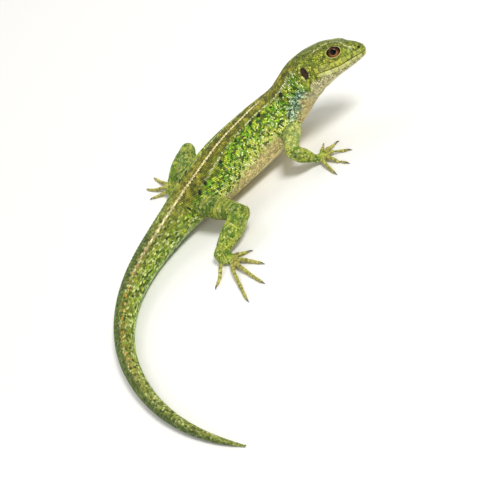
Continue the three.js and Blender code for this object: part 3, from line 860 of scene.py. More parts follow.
def chart_of(owner, way, turn):
    """Each point's place on one flat unwrap of the whole skin, in shares of a square."""
    scale = 0.0057  # of the square for each millimetre
    u = 0.02 + np.clip(way, 0, BODY_END) * scale
    v = 0.5 + turn * half_girth(way) * scale
    digits = 0
    for number, tube in enumerate(TUBES):
        rows = owner == number
        start, middle, shift = 0.03 + tube.leg * 0.24, 0.84, tube.run[0] * scale + 0.02
        if tube.kind == "digit":
            start, middle, shift = 0.03 + (digits % 10) * 0.095, 0.1 + digits // 10 * 0.06, 0
            digits += 1
        u[rows] = start + (way[rows] - tube.run[0]) * scale + shift
        v[rows] = middle + turn[rows] * math.pi * 2.2 * scale
    return np.stack([u, v], 1)


# Distance of the dotted pale line on each side from the stripe down the back's middle.
SIDE_LINE = curve_through([8, 14, 20, 25, 31, 36, 48, 60, 68, 90, 168],
                          [4.6, 6.2, 5.8, 4.6, 3.6, 3.5, 3.8, 4.0, 3.4, 2.0, 0.4])
# Where the belly's and the throat's pale colours start, in turns from the back's middle.
BELLY_LINE = curve_through([14, 18, 26, 31, 38, 50, 60, 66, 74, 168],
                           [0.86, 0.8, 0.74, 0.62, 0.53, 0.53, 0.56, 0.66, 0.92, 1.0])
THROAT_LINE = curve_through([0, 8, 11, 14, 18, 24, 30], [0.7, 0.7, 0.68, 0.64, 0.66, 0.69, 0.8])
# The pale line from the snout over the brow to the temple, in turns from the head's middle.
BROW_LINE = curve_through([2.2, 2.7, 3.95, 5.0, 5.8, 7.6, 9.1, 10.5, 12.0, 14.0],
                          [0.33, 0.291, 0.24, 0.165, 0.13, 0.14, 0.17, 0.216, 0.25, 0.27])

# Black spots under the side line, as station and distance from the stripe.
SPOTS = ((23.1, 6.0, 0.62), (28.6, 5.3, 0.42), (34.0, 4.4, 0.68), (37.6, 4.4, 0.75), (44.3, 4.7, 0.5),
         (51.2, 5.0, 0.5), (58.4, 4.5, 0.62), (61.2, 4.6, 0.68), (66.5, 4.3, 0.4))
SPOT_SHIFT = 1.4  # of the left side's spots towards the tail


def marks_of(lie, tone):
    """Distance beyond the pale side line, share of the shoulder's blue green, and lighter tone, which also
    carries painted shade in the neck's folds and beside the brow.
    """
    at, across, down = lie.T
    beside = np.abs(across)
    line = beside - SIDE_LINE(at)
    blue = bump(23.5, 6.0, at) * bump(0.6, 0.12, down)
    on_body = beside > 0.1
    from_brow = (down - BROW_LINE(np.clip(at, 2.2, 14))) * half_girth(at)
    brow = smooth(2.0, 2.6, at) * (1 - smooth(11, 13, at)) * on_body
    dashes = 0.72 + 0.28 * np.cos(at * 6.8)
    tone = np.broadcast_to(tone, len(at)).astype(float)
    # The pale brow line in dashes, and a band of painted brow shadow beside it.
    tone = tone + brow * (0.95 * dashes * bump(0, 0.24, from_brow) - 0.35 * bump(0.62, 0.3, from_brow))
    tone = tone - 0.4 * bump(13.0, 0.9, at) * bump(0.485, 0.045, down) * on_body
    side = smooth(0.3, 0.42, down) * (1 - smooth(0.68, 0.78, down)) * on_body
    # Painted shade in the folds on the neck's sides.
    for fold, _ in NECK_FOLDS:
        tone = tone - 0.62 * side * bump(fold, 0.34, at + NECK_LEAN * (down - 0.5))
    for station, out, radius in SPOTS:
        away = np.hypot(at - station - SPOT_SHIFT * (across > 0), (beside - out) * 1.1)
        tone = tone - (1 - smooth(radius * 0.75, radius * 1.3, away)) * on_body
    return np.stack([line, blue, np.clip(tone, -1, 1)], 1)


def borders_of(lie):
    """How far past the belly's and the throat's border, and how much of the tail's left side takes painted
    shade.
    """
    at, across, down = lie.T
    left = smooth(0.2, 1.4, across) * (1 - smooth(4.5, 6.5, across)) * smooth(70, 84, at)
    return np.stack([down - BELLY_LINE(at), down - THROAT_LINE(np.clip(at, 0, 30)), left], 1)


SKIN = {}


def note_skin(mesh):
    """Keeps what the scales need to know of the skin: where it is and how it lies."""
    points, loops, sizes = read_mesh(mesh)
    edges, normals = read_edges(mesh), read_normals(mesh)
    owner, way, turn, _, rear = survey(points)
    kinds = np.array([tube.kind for tube in TUBES] + ["body"])[owner]
    soften = lambda values, weight, rounds: relax(values[:, None], edges, weight, rounds)[:, 0]
    rear = relax(rear, edges, 0.5, 12)
    rear = unit(rear - normals * dots(rear, normals)[:, None])
    limb = soften((owner >= 0).astype(float), 0.5, 6)
    digit = soften((kinds == "digit").astype(float), 0.5, 4)
    legs = [name.split("_")[0] for name in LEGS]
    # Each point takes the painted light and shade of its length of leg, kept as its shade.
    tones = [PAINTED_LEG_LIGHT_AND_SHADE.get((legs[tube.leg], tube.kind), 0.0) for tube in TUBES] + [0.0]
    at, angle = locate_on_body(points)[:2]
    around = coat_turn(at, angle)
    on_body = owner < 0
    down = soften(np.abs(np.where(on_body, around, turn)), np.clip(limb * 2, 0, 0.5), 8)
    across = around * half_girth(at)
    head = 1 - smooth(14.5, 18.5, np.where(on_body, at, 30))
    starts = running_sum(sizes)[:-1]
    faces = [loops[s:s + n].tolist() for s, n in zip(starts, sizes)]
    SKIN.update(points=points, normals=normals, owner=owner, rear=rear, kinds=kinds,
                shade=soften(np.array(tones)[owner], 0.5, 10), chart=chart_of(owner, way, turn),
                lie=np.stack([np.where(on_body, at, way), np.where(on_body, across, 0), down], 1),
                zone=np.stack([head, limb, digit], 1), tree=tree_of(points),
                surface=BVHTree.FromPolygons(points.tolist(), faces))


def fine_detail(points):
    """Where the skin takes its finest faces: nostrils, mouth, lids and ears."""
    at, _, _, across, above = locate_on_body(points)
    fine = round_nostril(at, above) < 0.7
    fine |= (np.abs(over_mouth(at, above)) < 0.4) & (at < 13.6)
    fine |= (round_ear(at, above) < 1.5) & (np.abs(across) > 3)
    for eye in EYES.values():
        oval, out, _ = round_eye(points, eye)
        fine |= (oval > 1.2) & (oval < 2.5) & (out > 0)
    return (at < HEAD_END) & fine


class LIZARD_OT_skin(bpy.types.Operator):
    """Build the one skin of the whole animal, with the head's openings and folds"""
    bl_idname = "lizard.skin"
    bl_label = "Skin"

    def execute(self, context):
        net = cast_form()
        points, loops, sizes = read_mesh(net)
        edges = read_edges(net)
        points = relax(points, edges, 0.4, 3)
        points = relax(points, edges, 0.55 * (1 - fit_to_form(points)[1]), 22)
        net = make_mesh("skin", fit_to_form(points)[0], loops, sizes)
        split_faces(net, locate_on_body(face_middles(net))[0] < HEAD_END)
        split_faces(net, fine_detail(face_middles(net)))
        points, loops, sizes = read_mesh(net)
        edges = read_edges(net)
        points = fit_to_form(points)[0]
        points = shape_head(points, read_normals(make_mesh("skin", points, loops, sizes)))
        points = relax(points, edges, np.where(locate_on_body(points)[0] < 30, 0.35, 0.3), 2)
        points[:, 2] = np.maximum(points[:, 2], SKIN_LEVEL)
        net = make_mesh("skin", points, loops, sizes)
        note_skin(net)
        at, _, _, _, above = locate_on_body(points)
        # Painted shade in the openings of the nostrils.
        painted_nostril_shade = round_nostril(at, above) < NOSTRIL["radius"] * 1.25
        lie, middling = SKIN["lie"], np.tile([0.5, 0.5, 0.0], (len(points), 1))
        write_vectors(net, root=points, lie=lie, zone=SKIN["zone"], grain=middling,
                      marks=marks_of(lie, SKIN["shade"] - 1.0 * painted_nostril_shade), borders=borders_of(lie))
        flesh = [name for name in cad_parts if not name.startswith(("eye", "ear"))]
        show("skin", net, coat_material("bare skin, soft and dry", 0.62), "trunk_scales", *flesh)
        return {"FINISHED"}


# ---- materials

def add(tree, kind, inputs=None, **settings):
    """Adds a shader node with its settings, and sets or links its inputs."""
    made = tree.nodes.new("ShaderNode" + kind)
    for name, value in settings.items():
        setattr(made, name, value)
    for socket, value in (inputs or {}).items():
        if isinstance(value, bpy.types.NodeSocket):
            tree.links.new(value, made.inputs[socket])
        else:
            made.inputs[socket].default_value = value
    return made


def work_out(tree, operation, *values):
    """A sum of up to three numbers or sockets."""
    return add(tree, "Math", dict(enumerate(values)), operation=operation).outputs[0]


def soft_step(tree, value, start, full):
    """0 where the value is at its start, 1 where it is full, and an easy turn between them."""
    return add(tree, "MapRange", {"Value": value, "From Min": start, "From Max": full},
               interpolation_type="SMOOTHSTEP").outputs[0]


def mix(tree, share, under, over):
    """One colour laid over another, by a share."""
    return add(tree, "Mix", {0: share, 6: under, 7: over}, data_type="RGBA").outputs[2]


def fine_noise(tree, size):
    """A soft noise with patches of that many millimetres, fixed to the piece itself."""
    return add(tree, "TexNoise", {"Vector": add(tree, "TexCoord").outputs["Object"],
                                  "Scale": 1 / (size * MM), "Detail": 2.0}).outputs["Fac"]


def make_material(name, finish):
    material = bpy.data.materials.new(name)
    material.use_nodes = True
    tree = material.node_tree
    tree.nodes.clear()
    shader = add(tree, "BsdfPrincipled", finish(tree))
    add(tree, "OutputMaterial", {"Surface": shader.outputs[0]})
    return material


# What the three numbers of each vector kept on the meshes say.
MARKS_KEPT = {"lie": ("at", "across", "down"), "zone": ("head", "limb", "digit"),
              "grain": ("luck", "chance", "rise"), "marks": ("line", "blue", "tone"),
              "borders": ("belly", "throat", "left side")}
# Soft noises, as name, place, size of the patches in millimetres and detail.
NOISES = (("patch", "root", 2.6, 2.0), ("blotch", "root", 1.5, 1.0), ("stroke", "strokes", 1.0, 1.5),
          ("fleck", "strokes", 0.62, 0.5), ("mottle", "root", 0.9, 1.0))
# Noises shifted by each scale's luck, and borders by a noise, as name, value, factor and what is added.
SUMS = (("patchy", "luck", 0.22, "patch"), ("stroked", "luck", 0.2, "stroke"),
        ("mottled", "chance", 0.12, "mottle"), ("blotchy", "chance", 0.3, "blotch"),
        ("flecked", "luck", 0.3, "fleck"), ("belly edge", "blotch", 0.2, "belly"),
        ("jaw edge", "blotch", 0.3, "throat"), ("band", "patch", 2.4, "line"),
        ("netted", "chance", 0.12, "net"))
# Soft steps, as name, value, where the step starts and where it is full.
STEPS = (
    ("light patch", "stroked", 0.56, 0.66), ("back patch", "patchy", 0.57, 0.67),
    ("dark net", "netted", 0.2, 0.1), ("dark blotch", "blotchy", 0.63, 0.72),
    ("mottle", "mottled", 0.54, 0.66), ("light mottle", "mottled", 0.52, 0.42),
    ("pale fleck", "flecked", 0.72, 0.79), ("crown", "down", 0.34, 0.2),
    ("rump starts", "at", 56, 63), ("rump ends", "at", 78, 70),
    ("low side", "down", 0.2, 0.42), ("side", "band", 0.7, 2.6),
    ("belly", "belly edge", 0.03, 0.15), ("under", "belly", 0.12, 0.25),
    ("low flank", "belly edge", -0.12, 0.06), ("left side", "left side", 0.0, 1.0),
    ("stripe", "middle", 0.42, 0.24), ("stripe side", "middle", 1.0, 0.5),
    ("stripe starts", "at", 29, 34), ("stripe ends", "at", 100, 76),
    ("dotted", "beside", 0.4, 0.22), ("line starts", "at", 14, 17), ("line ends", "at", 64, 50),
    ("tail", "at", 64, 74), ("tail low", "down", 0.42, 0.62), ("tail rear", "at", 100, 130),
    ("tail speck", "luck", 0.2, 0.12), ("tail fleck", "luck", 0.7, 0.78),
    ("tail dot", "dot wave", 0.5, 0.35), ("dots start", "at", 74, 84), ("dots end", "at", 132, 118),
    ("body", "limb", 0.6, 0.4), ("leg", "limb", 0.35, 0.65), ("leg under", "down", 0.78, 0.92),
    ("fold shade starts", "limb", 0.25, 0.45), ("fold shade ends", "limb", 0.75, 0.55),
    ("toe", "digit", 0.4, 0.7), ("toe band", "toe wave", 0.7, 0.8),
    ("throat", "jaw edge", 0.1, 0.2), ("throat ends", "at", 31, 24), ("neck yellow", "at", 18, 23),
    ("blue", "blue", 0.25, 0.7), ("face", "head", 0.3, 0.7), ("cheek", "down", 0.16, 0.34),
    ("pale", "tone", 0.0, 1.0), ("dark", "tone", 0.0, -1.0), ("between", "rise", 0.45, 0.05),
    ("some", "chance", 0.35, 0.45), ("low", "luck", 0.5, 0.3), ("speck", "chance", 0.8, 0.86),
    ("lucky", "luck", 0.3, 0.4),
)
# Colours laid over each other in this order: a hue or the name of one, its strength, and the soft
# steps that bound it.
FLANK_LAYERS = (("flank_light", 0.85, "light patch"), ("flank_dark", 0.8, "dark net"))
BACK_LAYERS = (("#B4AA3A", 0.72, "back patch"), ("back_dark", 0.75, "dark blotch"))
COAT_LAYERS = (
    # Rump, flanks and the blue green of the neck.
    ("#A9AE48", 0.6, "rump starts", "rump ends", "light mottle"),
    ("#D2CE6C", 0.75, "low flank", "some"),
    ("fleck", 0.75, "pale fleck", "low side"),
    ("turquoise", 0.8, "blue", "some"),
    ("#1E3B30", 0.7, "blue", "dark net"),
    ("#DCE8C4", 0.75, "blue", "low"),
    # Tail.
    ("#7E8A28", 0.55, "tail"),
    ("#A9C688", 0.68, "tail", "tail low"),
    ("#8C9142", 0.55, "tail rear"),
    ("#C6D08C", 0.5, "tail", "tail fleck"),
    ("#22400F", 0.75, "tail", "tail speck"),
    # Painted shade on the tail's left side.
    ("#3F5419", 0.75, "left side"),
    # Stripe down the back with its brown edges, pale side lines, and dots along the tail.
    ("#4E3F1A", 0.65, "stripe side", "stripe starts", "stripe ends", "some"),
    ("#D2D6A0", 0.8, "dotted", "line starts", "line ends", "lucky", "body"),
    ("stripe", 0.95, "stripe", "stripe starts", "stripe ends", "body"),
    ("tail_dot", 0.55, "stripe", "dots start", "dots end", "tail dot"),
    # Belly and throat.
    ("belly", 0.95, "belly"),
    ("#E2D6A4", 0.5, "under"),
    ("#9DAA52", 0.35, "belly", "light patch"),
    ("speck", 0.7, "belly", "speck"),
    ("throat", 1.0, "throat", "throat ends"),
    ("#C4AE62", 0.7, "throat", "throat ends", "neck yellow"),
    ("#7F7F6C", 0.75, "throat", "throat ends", "speck"),
    # Legs and digits.
    ("leg", 1.0, "leg"),
    ("#3C5E1C", 0.4, "leg", "dark net"),
    ("#3C641A", 0.55, "leg", "dark blotch"),
    ("#BCC04C", 0.7, "leg", "back patch"),
    ("#D5D98E", 0.55, "leg", "light mottle", "lucky"),
    ("#C9C080", 0.8, "leg", "leg under"),
    # The darker skin of the fold at each leg's root, deepened with painted shade.
    ("#2C3A14", 0.5, "fold shade starts", "fold shade ends"),
    ("#BAB058", 0.75, "toe"),
    ("#45431E", 0.5, "toe", "toe band"),
    # Head.
    ("head", 1.0, "face"),
    ("cheek", 0.85, "face", "cheek"),
    ("#C4BE4E", 0.5, "face", "light patch", "cheek"),
    ("#48541A", 0.78, "face", "mottle"),
    ("#55611C", 0.4, "face", "crown"),
    ("#A3A83E", 0.45, "face", "crown", "light mottle"),
    ("throat", 0.95, "face", "throat"),
    # Single pale and dark scales and marks, where the tone also carries painted light and shade.
    ("#D8D698", 1.0, "pale"),
    ("#14180A", 0.95, "dark"),
)


def lay_over(tree, paint, layers, steps):
    """Lays colours over a paint, each where all of its soft steps are on."""
    hues = bpy.context.scene.lizard_colours
    for hue, strength, first, *others in layers:
        share = steps[first]
        for other in others:
            share = work_out(tree, "MULTIPLY", share, steps[other])
        share = work_out(tree, "MULTIPLY", share, strength)
        paint = mix(tree, share, paint, linear(hue) if hue.startswith("#") else getattr(hues, hue))
    return paint


def paint_markings(tree):
    """The coat's markings, worked out from each scale's root so that a scale has one colour, darkened by
    painted shade in the gaps between scales.
    """
    known = {"root": add(tree, "Attribute", attribute_name="root").outputs["Vector"]}
    for name, parts in MARKS_KEPT.items():
        vector = add(tree, "Attribute", attribute_name=name).outputs["Vector"]
        known.update(zip(parts, add(tree, "SeparateXYZ", {0: vector}).outputs))
    known["strokes"] = add(tree, "CombineXYZ", {
        axis: work_out(tree, "MULTIPLY", known[name], 1 / size)
        for axis, name, size in ((0, "at", 1.15), (1, "across", 2.6), (2, "down", 0.3))}).outputs[0]
    for name, where, size, detail in NOISES:
        known[name] = add(tree, "TexNoise", {"Vector": known[where], "Scale": 1 / size, "Detail": detail,
                                             "Roughness": 0.55}).outputs["Fac"]
    known["net"] = add(tree, "TexVoronoi", {"Vector": known["root"], "Scale": 1 / 1.6},
                       feature="DISTANCE_TO_EDGE").outputs["Distance"]
    for name, value, factor, added in SUMS:
        known[name] = work_out(tree, "MULTIPLY_ADD", known[value], factor, known[added])
    for name, value in (("middle", "across"), ("beside", "line")):
        known[name] = work_out(tree, "ABSOLUTE", known[value])
    for name, waves in (("toe wave", 0.72), ("dot wave", 0.42)):
        known[name] = work_out(tree, "FRACT", work_out(tree, "MULTIPLY", known["at"], waves))
    steps = {name: soft_step(tree, known[value], start, full) for name, value, start, full in STEPS}

    hues = bpy.context.scene.lizard_colours
    flank = lay_over(tree, tuple(hues.flank), FLANK_LAYERS, steps)
    back = lay_over(tree, tuple(hues.back), BACK_LAYERS, steps)
    paint = lay_over(tree, mix(tree, steps["side"], back, flank), COAT_LAYERS, steps)
    spread = add(tree, "MapRange", {"Value": known["limb"], "To Min": 0.88, "To Max": 0.76}).outputs[0]
    offset = work_out(tree, "SUBTRACT", known["chance"], 0.48)
    shade = work_out(tree, "MULTIPLY_ADD", offset, spread, 1.0)
    # Painted shade in the gaps between scales: darkest on their low walls and on the bare skin.
    gap_shade = add(tree, "MapRange", {"Value": steps["between"], "To Min": 1.0, "To Max": 0.42}).outputs[0]
    light = work_out(tree, "MULTIPLY", shade, gap_shade)
    return add(tree, "VectorMath", {0: paint, "Scale": light}, operation="SCALE").outputs[0]


def coat_material(name, roughness):
    """Horn of small scales, grown and dry: a satin gloss on each scale, dull between them, where painted
    shade darkens the gaps.
    """
    def finish(tree):
        grain = fine_noise(tree, 0.12)
        relief = add(tree, "Bump", {"Strength": 0.25, "Distance": 0.02 * MM, "Height": grain})
        rough = add(tree, "MapRange", {"Value": grain, "To Min": roughness - 0.08,
                                       "To Max": roughness + 0.1})
        return {"Base Color": paint_markings(tree), "Roughness": rough.outputs[0], "IOR": 1.5,
                "Specular IOR Level": 0.3, "Normal": relief.outputs[0]}
    return make_material(name, finish)


# ---- scales

SCALE_LEVEL = 0.01  # lowest height of scales and claws over the floor
PATCH = 0.0014  # half width of a scale's own patch on the unwrap
SHIELD_GAP = 0.05  # between two shields
MOST_TRIANGLES = 200000  # of one piece of the coat


def ring_of(sides):
    angle = full_turn(sides, 0.5)
    return np.stack([np.cos(angle), np.sin(angle)], 1)


def template(rings, top):
    """Points of one scale as across, rearward and out, from rings of outline and height."""
    rows = [np.column_stack([outline, np.broadcast_to(height, len(outline))]) for outline, height in rings]
    return np.concatenate(rows + [[top]]), len(rings), len(rings[0][0])


BEAD = template([(ring_of(8), -0.5), (ring_of(8) * 0.84, 0.58)], (0, 0.1, 1.0))
LEAF_OUTLINE = np.array([(0.55, -0.75), (1.0, -0.1), (0.8, 0.62), (0.0, 1.12), (-0.8, 0.62), (-1.0, -0.1),
                         (-0.55, -0.75)])
LEAF_TILT = 0.62 + 0.32 * LEAF_OUTLINE[:, 1]
LEAF = template([(LEAF_OUTLINE, -0.5), (LEAF_OUTLINE * (0.9, 0.96), LEAF_TILT * 0.72)], (0, 0.35, 0.95))
KEELED = template([(LEAF_OUTLINE, -0.5), (LEAF_OUTLINE * (0.92, 0.97), LEAF_TILT * 0.6),
                   (LEAF_OUTLINE * (0.16, 0.9), LEAF_TILT * 1.15)], (0, 0.1, 0.78))


def cap_faces(rings, sides):
    """Faces of a closed scale: its floor, the walls from ring to ring, and a fan round its top."""
    quads = wall_quads(rings, sides)
    s = np.arange(sides)
    top = (rings - 1) * sides
    fan = np.stack([top + s, top + (s + 1) % sides, np.full(sides, rings * sides)], 1)
    return (np.concatenate([s[::-1], quads, fan.ravel()]),
            np.concatenate([[sides], np.full(quads.size // 4, 4), np.full(sides, 3)]))


def nearest_skin(points):
    return np.array([SKIN["tree"].find(point)[1] for point in points], int)


def set_on_skin(points):
    """Each point moved to the nearest place on the skin."""
    return np.array([SKIN["surface"].find_nearest(point)[0] for point in points])


def cast_onto_skin(starts, outward, reach):
    """Where lines from outside meet the skin, with the skin's normals there."""
    placed = []
    for start, way in zip(starts, np.broadcast_to(outward, starts.shape)):
        spot = SKIN["surface"].ray_cast(Vector(start), -Vector(way), reach)[0]
        placed.append(SKIN["surface"].find_nearest(start - way * 5)[0] if spot is None else spot)
    placed = np.array(placed)
    return placed, SKIN["normals"][nearest_skin(placed)]


COVER = []  # places that scales already cover, with their radius


def free_places(points, radius):
    """True where no earlier scale reaches within the radius."""
    if not COVER or not len(points):
        return np.ones(len(points), bool)
    tree = tree_of(np.concatenate([places for places, _ in COVER]))
    reach = np.concatenate([np.broadcast_to(size, len(places)) for places, size in COVER])
    nearest, distance = np.array([tree.find(point)[1:] for point in points]).T
    return distance > radius + reach[nearest.astype(int)]


class Coat:
    """Scales gathered into one mesh; each is a closed solid that stands in the skin."""

    def __init__(self, name, seed):
        self.name, self.random, self.batches = name, np.random.default_rng(seed), []

    def add(self, points, rise, flat, rings, sides, roots, lie=None, tone=0.0, vary=1.0):
        """Scales of one make: points, rise and flat place of each corner, and the place they grow from."""
        near = nearest_skin(roots)
        lie = SKIN["lie"][near] if lie is None else lie
        count, corners = points.shape[:2]
        loops, sizes = cap_faces(rings, sides)
        points[..., 2] = np.maximum(points[..., 2], SCALE_LEVEL)
        spread = lambda values: np.repeat(values, corners, axis=0)
        luck = 0.5 + (self.random.random((count, 2)) - 0.5) * vary
        self.batches.append({
            "shell": (points.reshape(-1, 3), (loops + np.arange(count)[:, None] * corners).ravel(),
                      np.tile(sizes, count)),
            "patch": spread(SKIN["chart"][near]) + np.tile(flat, (count, 1)) * PATCH,
            "root": spread(roots), "lie": spread(lie), "zone": spread(SKIN["zone"][near]),
            "grain": np.column_stack([spread(luck), np.tile(rise, count)]),
            "marks": spread(marks_of(lie, tone + SKIN["shade"][near])), "borders": spread(borders_of(lie))})

    def strew(self, roots, shape, wide, long, high, lie=None, tone=0.0, bend=1e9):
        """Sets one scale of a template on each root, turned along the skin's growth."""
        points, rings, sides = shape
        near = nearest_skin(roots)
        out = SKIN["normals"][near]
        across = unit(np.cross(SKIN["rear"][near], out))
        rear = np.cross(out, across)
        size = lambda value: np.broadcast_to(value, len(roots))[:, None]
        jitter = 1 + self.random.uniform(-0.07, 0.07, (3, len(roots), 1))
        x = points[:, 0] * size(wide) / 2 * jitter[0]
        y = points[:, 1] * size(long) / 2 * jitter[1]
        z = points[:, 2] * size(high) * jitter[2] - x * x / (2 * size(bend))
        placed = (roots[:, None] + across[:, None] * x[..., None] + rear[:, None] * y[..., None]
                  + out[:, None] * z[..., None])
        rise = np.clip((points[:, 2] + 0.5) / 1.1, 0, 1)
        self.add(placed, rise, points[:, :2], rings, sides, roots, lie, tone)
        COVER.append((roots, np.broadcast_to(wide, len(roots)) * 0.5))

    def shield(self, outline, onto, high=0.12, tilt=0.0, tone=0.0, step=0.3):
        """One broad flat scale of a given outline, laid on the skin by onto()."""
        ring = rounded(np.array(outline, float), step)
        middle = ring.mean(0)
        placed, out = onto(ring)
        turning = np.cross(placed - placed.mean(0), np.roll(placed, -1, 0) - placed.mean(0)).sum(0)
        if turning @ out.mean(0) < 0:
            ring = ring[::-1]
        along = unit(np.roll(ring, -1, 0) - np.roll(ring, 1, 0))
        inward = np.stack([-along[:, 1], along[:, 0]], 1)
        if dots(inward, middle - ring).sum() < 0:
            inward = -inward
        inner = np.percentile(np.linalg.norm(ring - middle, axis=1), 10)
        edge = ring + inward * SHIELD_GAP * 0.7
        shrunk = lambda depth: middle + (edge - middle) * (1 - min(depth / inner, 0.6))
        levels = [(ring + inward * SHIELD_GAP * 0.5, -0.6), (edge, 0.4), (shrunk(0.05), 0.82),
                  (shrunk(0.14), 1.0)]
        last = levels[-1][0]
        for share in np.linspace(1, 0, max(int(inner / 0.4), 1) + 2)[1:-1]:
            levels.append((middle + (last - middle) * share, 1.0))
        flat = np.concatenate([level for level, _ in levels] + [[middle]])
        heights = np.concatenate([np.full(len(ring), height) for _, height in levels] + [[1.0]])
        placed, out = onto(flat)
        half = max(np.ptp(ring[:, 0]) / 2, 0.1)
        slope = (flat[:, 0] - middle[0]) / half * tilt * (heights > 0)
        points = placed + out * ((heights * high) + slope * high)[:, None]
        rise = np.clip(heights + 0.6, 0, 1)
        spot = (flat - middle) / np.abs(ring - middle).max()
        self.add(points[None], rise, spot * 1.5, len(levels), len(ring), placed[-1:], None, tone, vary=0.3)
        there = SKIN["lie"][nearest_skin(placed)]
        self.batches[-1].update(root=placed, marks=marks_of(there, tone))
        COVER.append((placed, 0.12))

    def show(self, finish, roughness, slot):
        """Makes the one mesh and its piece."""
        mesh = make_mesh(self.name, *join_shells([batch["shell"] for batch in self.batches]))
        every = lambda name: np.concatenate([batch[name] for batch in self.batches])
        write_vectors(mesh, **{name: every(name) for name in ("root", *MARKS_KEPT)})
        corners = read_items(mesh.loops, "vertex_index", kind=np.int32)
        layer = mesh.uv_layers.new(name="OFBake")
        layer.data.foreach_set("uv", every("patch")[corners].astype(np.float32).ravel())
        if len(mesh.loops) - 2 * len(mesh.polygons) >= MOST_TRIANGLES:
            raise RuntimeError(self.name + " has too many triangles")
        show(self.name, mesh, coat_material(finish, roughness), slot)


def rounded(corners, step):
    """An outline with its corners cut off and its edges divided into short steps."""
    out = []
    for corner, following in zip(corners, np.roll(corners, -1, 0)):
        reach = np.linalg.norm(following - corner)
        if reach < 1e-6:
            continue
        cut = min(0.1, reach * 0.3) / reach
        count = max(int(round(reach * (1 - 2 * cut) / step)), 1)
        share = np.linspace(cut, 1 - cut, count + 1)[:, None]
        out.append(corner + (following - corner) * share)
    return np.concatenate(out)


# ---- head shields

def seen_from(side, tilt):
    """Lays flat points, as station and height in the view, on the head as seen from one direction."""
    def onto(flat):
        origin, _, left, up = axes_at(flat[:, 0])
        toward = left * side * math.cos(tilt) + up * math.sin(tilt)
        rise = up * math.cos(tilt) - left * side * math.sin(tilt)
        return cast_onto_skin(origin + rise * flat[:, 1:] + toward * 9, toward, 14)
    return onto


def seen_from_front(flat):
    """Lays flat points, as left and height, on the tip of the snout."""
    origin, ahead, left, up = axes_at(0)
    return cast_onto_skin(origin + ahead * 5 + left * flat[:, :1] + up * flat[:, 1:], ahead, 9)


# Outlines from above, as distance behind the snout and from the head's middle. The first ones lie
# across the middle and are given as one half, the others are in pairs.
MIDDLE_SHIELDS = {
    "frontonasal": [(2.0, 0), (2.3, 0.85), (3.0, 1.5), (3.7, 1.0), (4.0, 0)],
    "frontal": [(4.85, 0), (5.05, 0.5), (5.55, 1.28), (6.4, 1.12), (8.2, 0.92), (8.75, 0.5), (8.95, 0)],
    "interparietal": [(9.95, 0), (10.2, 0.36), (10.75, 0.62), (11.9, 0.58), (12.9, 0.4), (13.0, 0)],
    "occipital": [(13.02, 0), (12.95, 0.42), (13.9, 0.62), (14.05, 0)],
}
PAIRED_SHIELDS = {
    "nasal": ([(0.3, 0), (1.98, 0), (2.25, 0.8), (1.9, 1.35), (0.9, 1.2), (0.35, 0.6)], 0),
    "prefrontal": ([(4.02, 0), (4.82, 0), (5.0, 0.5), (5.5, 1.32), (4.95, 2.3), (3.9, 2.35), (3.1, 1.75),
                    (3.8, 1.05)], 0),
    "supraocular 1": ([(5.6, 1.35), (6.15, 1.25), (6.1, 2.1), (5.5, 2.75), (5.0, 2.35)], 0.1),
    "supraocular 2": ([(6.2, 1.22), (7.55, 1.05), (7.7, 2.95), (6.6, 3.05), (5.7, 2.8), (6.15, 2.1)], 0.1),
    "supraocular 3": ([(7.6, 1.05), (8.25, 0.98), (9.2, 1.55), (9.35, 2.85), (7.75, 2.98)], 0.1),
    "supraocular 4": ([(9.25, 1.6), (10.1, 1.85), (10.15, 2.75), (9.4, 2.85)], 0.1),
    "frontoparietal": ([(8.98, 0), (8.8, 0.5), (8.3, 0.95), (9.2, 1.5), (10.15, 1.8), (10.68, 0.95),
                        (10.18, 0.38), (9.92, 0)], 0),
    "parietal": ([(10.75, 0.68), (11.9, 0.63), (12.95, 0.46), (13.95, 0.68), (14.6, 1.4), (14.75, 2.6),
                  (13.7, 3.5), (11.9, 3.8), (10.7, 3.4), (10.2, 2.8), (10.15, 1.87)], 0),
}
SUPRALABIAL_CUTS = (0.6, 1.75, 3.1, 4.4, 5.6, 8.9, 10.2, 11.5, 12.7)
SUPRALABIAL_TOP = curve_through([0, 0.6, 1.75, 3.1, 5.6, 7.2, 8.9, 10.2, 12.7],
                                [1.0, 1.15, 1.2, 1.05, 0.95, 0.62, 0.8, 1.0, 0.7])
INFRALABIAL_CUTS = (0.65, 1.9, 3.4, 5.2, 7.1, 8.9, 10.6, 12.2)
INFRALABIAL_BASE = curve_through([0, 2, 4, 7, 10, 12.5], [-0.75, -1.15, -1.6, -2.15, -2.1, -1.5])
SIDE_SHIELDS = {
    "postnasal": [(1.35, 1.28), (2.3, 1.25), (2.3, 2.3), (1.35, 2.05), (1.28, 1.62)],
    "loreal": [(2.35, 1.22), (4.4, 1.05), (4.75, 1.7), (4.7, 3.05), (3.4, 2.95), (2.35, 2.4)],
    "preocular": [(4.5, 1.05), (5.3, 1.0), (5.25, 1.7), (5.1, 2.7), (4.8, 3.0), (4.82, 1.7)],
    "masseteric": [(11.4, 1.6), (12.3, 1.35), (13.0, 1.75), (13.1, 2.4), (12.3, 2.85), (11.5, 2.5)],
    "tympanic": [(13.7, 2.9), (14.3, 2.5), (15.1, 2.75), (15.0, 3.15), (14.0, 3.3)],
}
BROW_CUTS = ((5.2, 6.16), (6.2, 7.16), (7.2, 8.16), (8.2, 9.06), (9.1, 10.0))
BROW_RIDGE = curve_through([1.9, 2.6, 4.2, 5.6], [2.2, 2.65, 2.98, 3.0])
CHIN_CUTS = (0.8, 2.0, 3.7, 5.6, 7.8, 9.9, 11.6)
CHIN_INSIDE = (0.0, 0.0, 0.0, 0.55, 1.6, 2.7)
CHIN_OUTSIDE = (1.15, 1.15, 1.75, 2.35, 3.0, 3.65, 4.0)
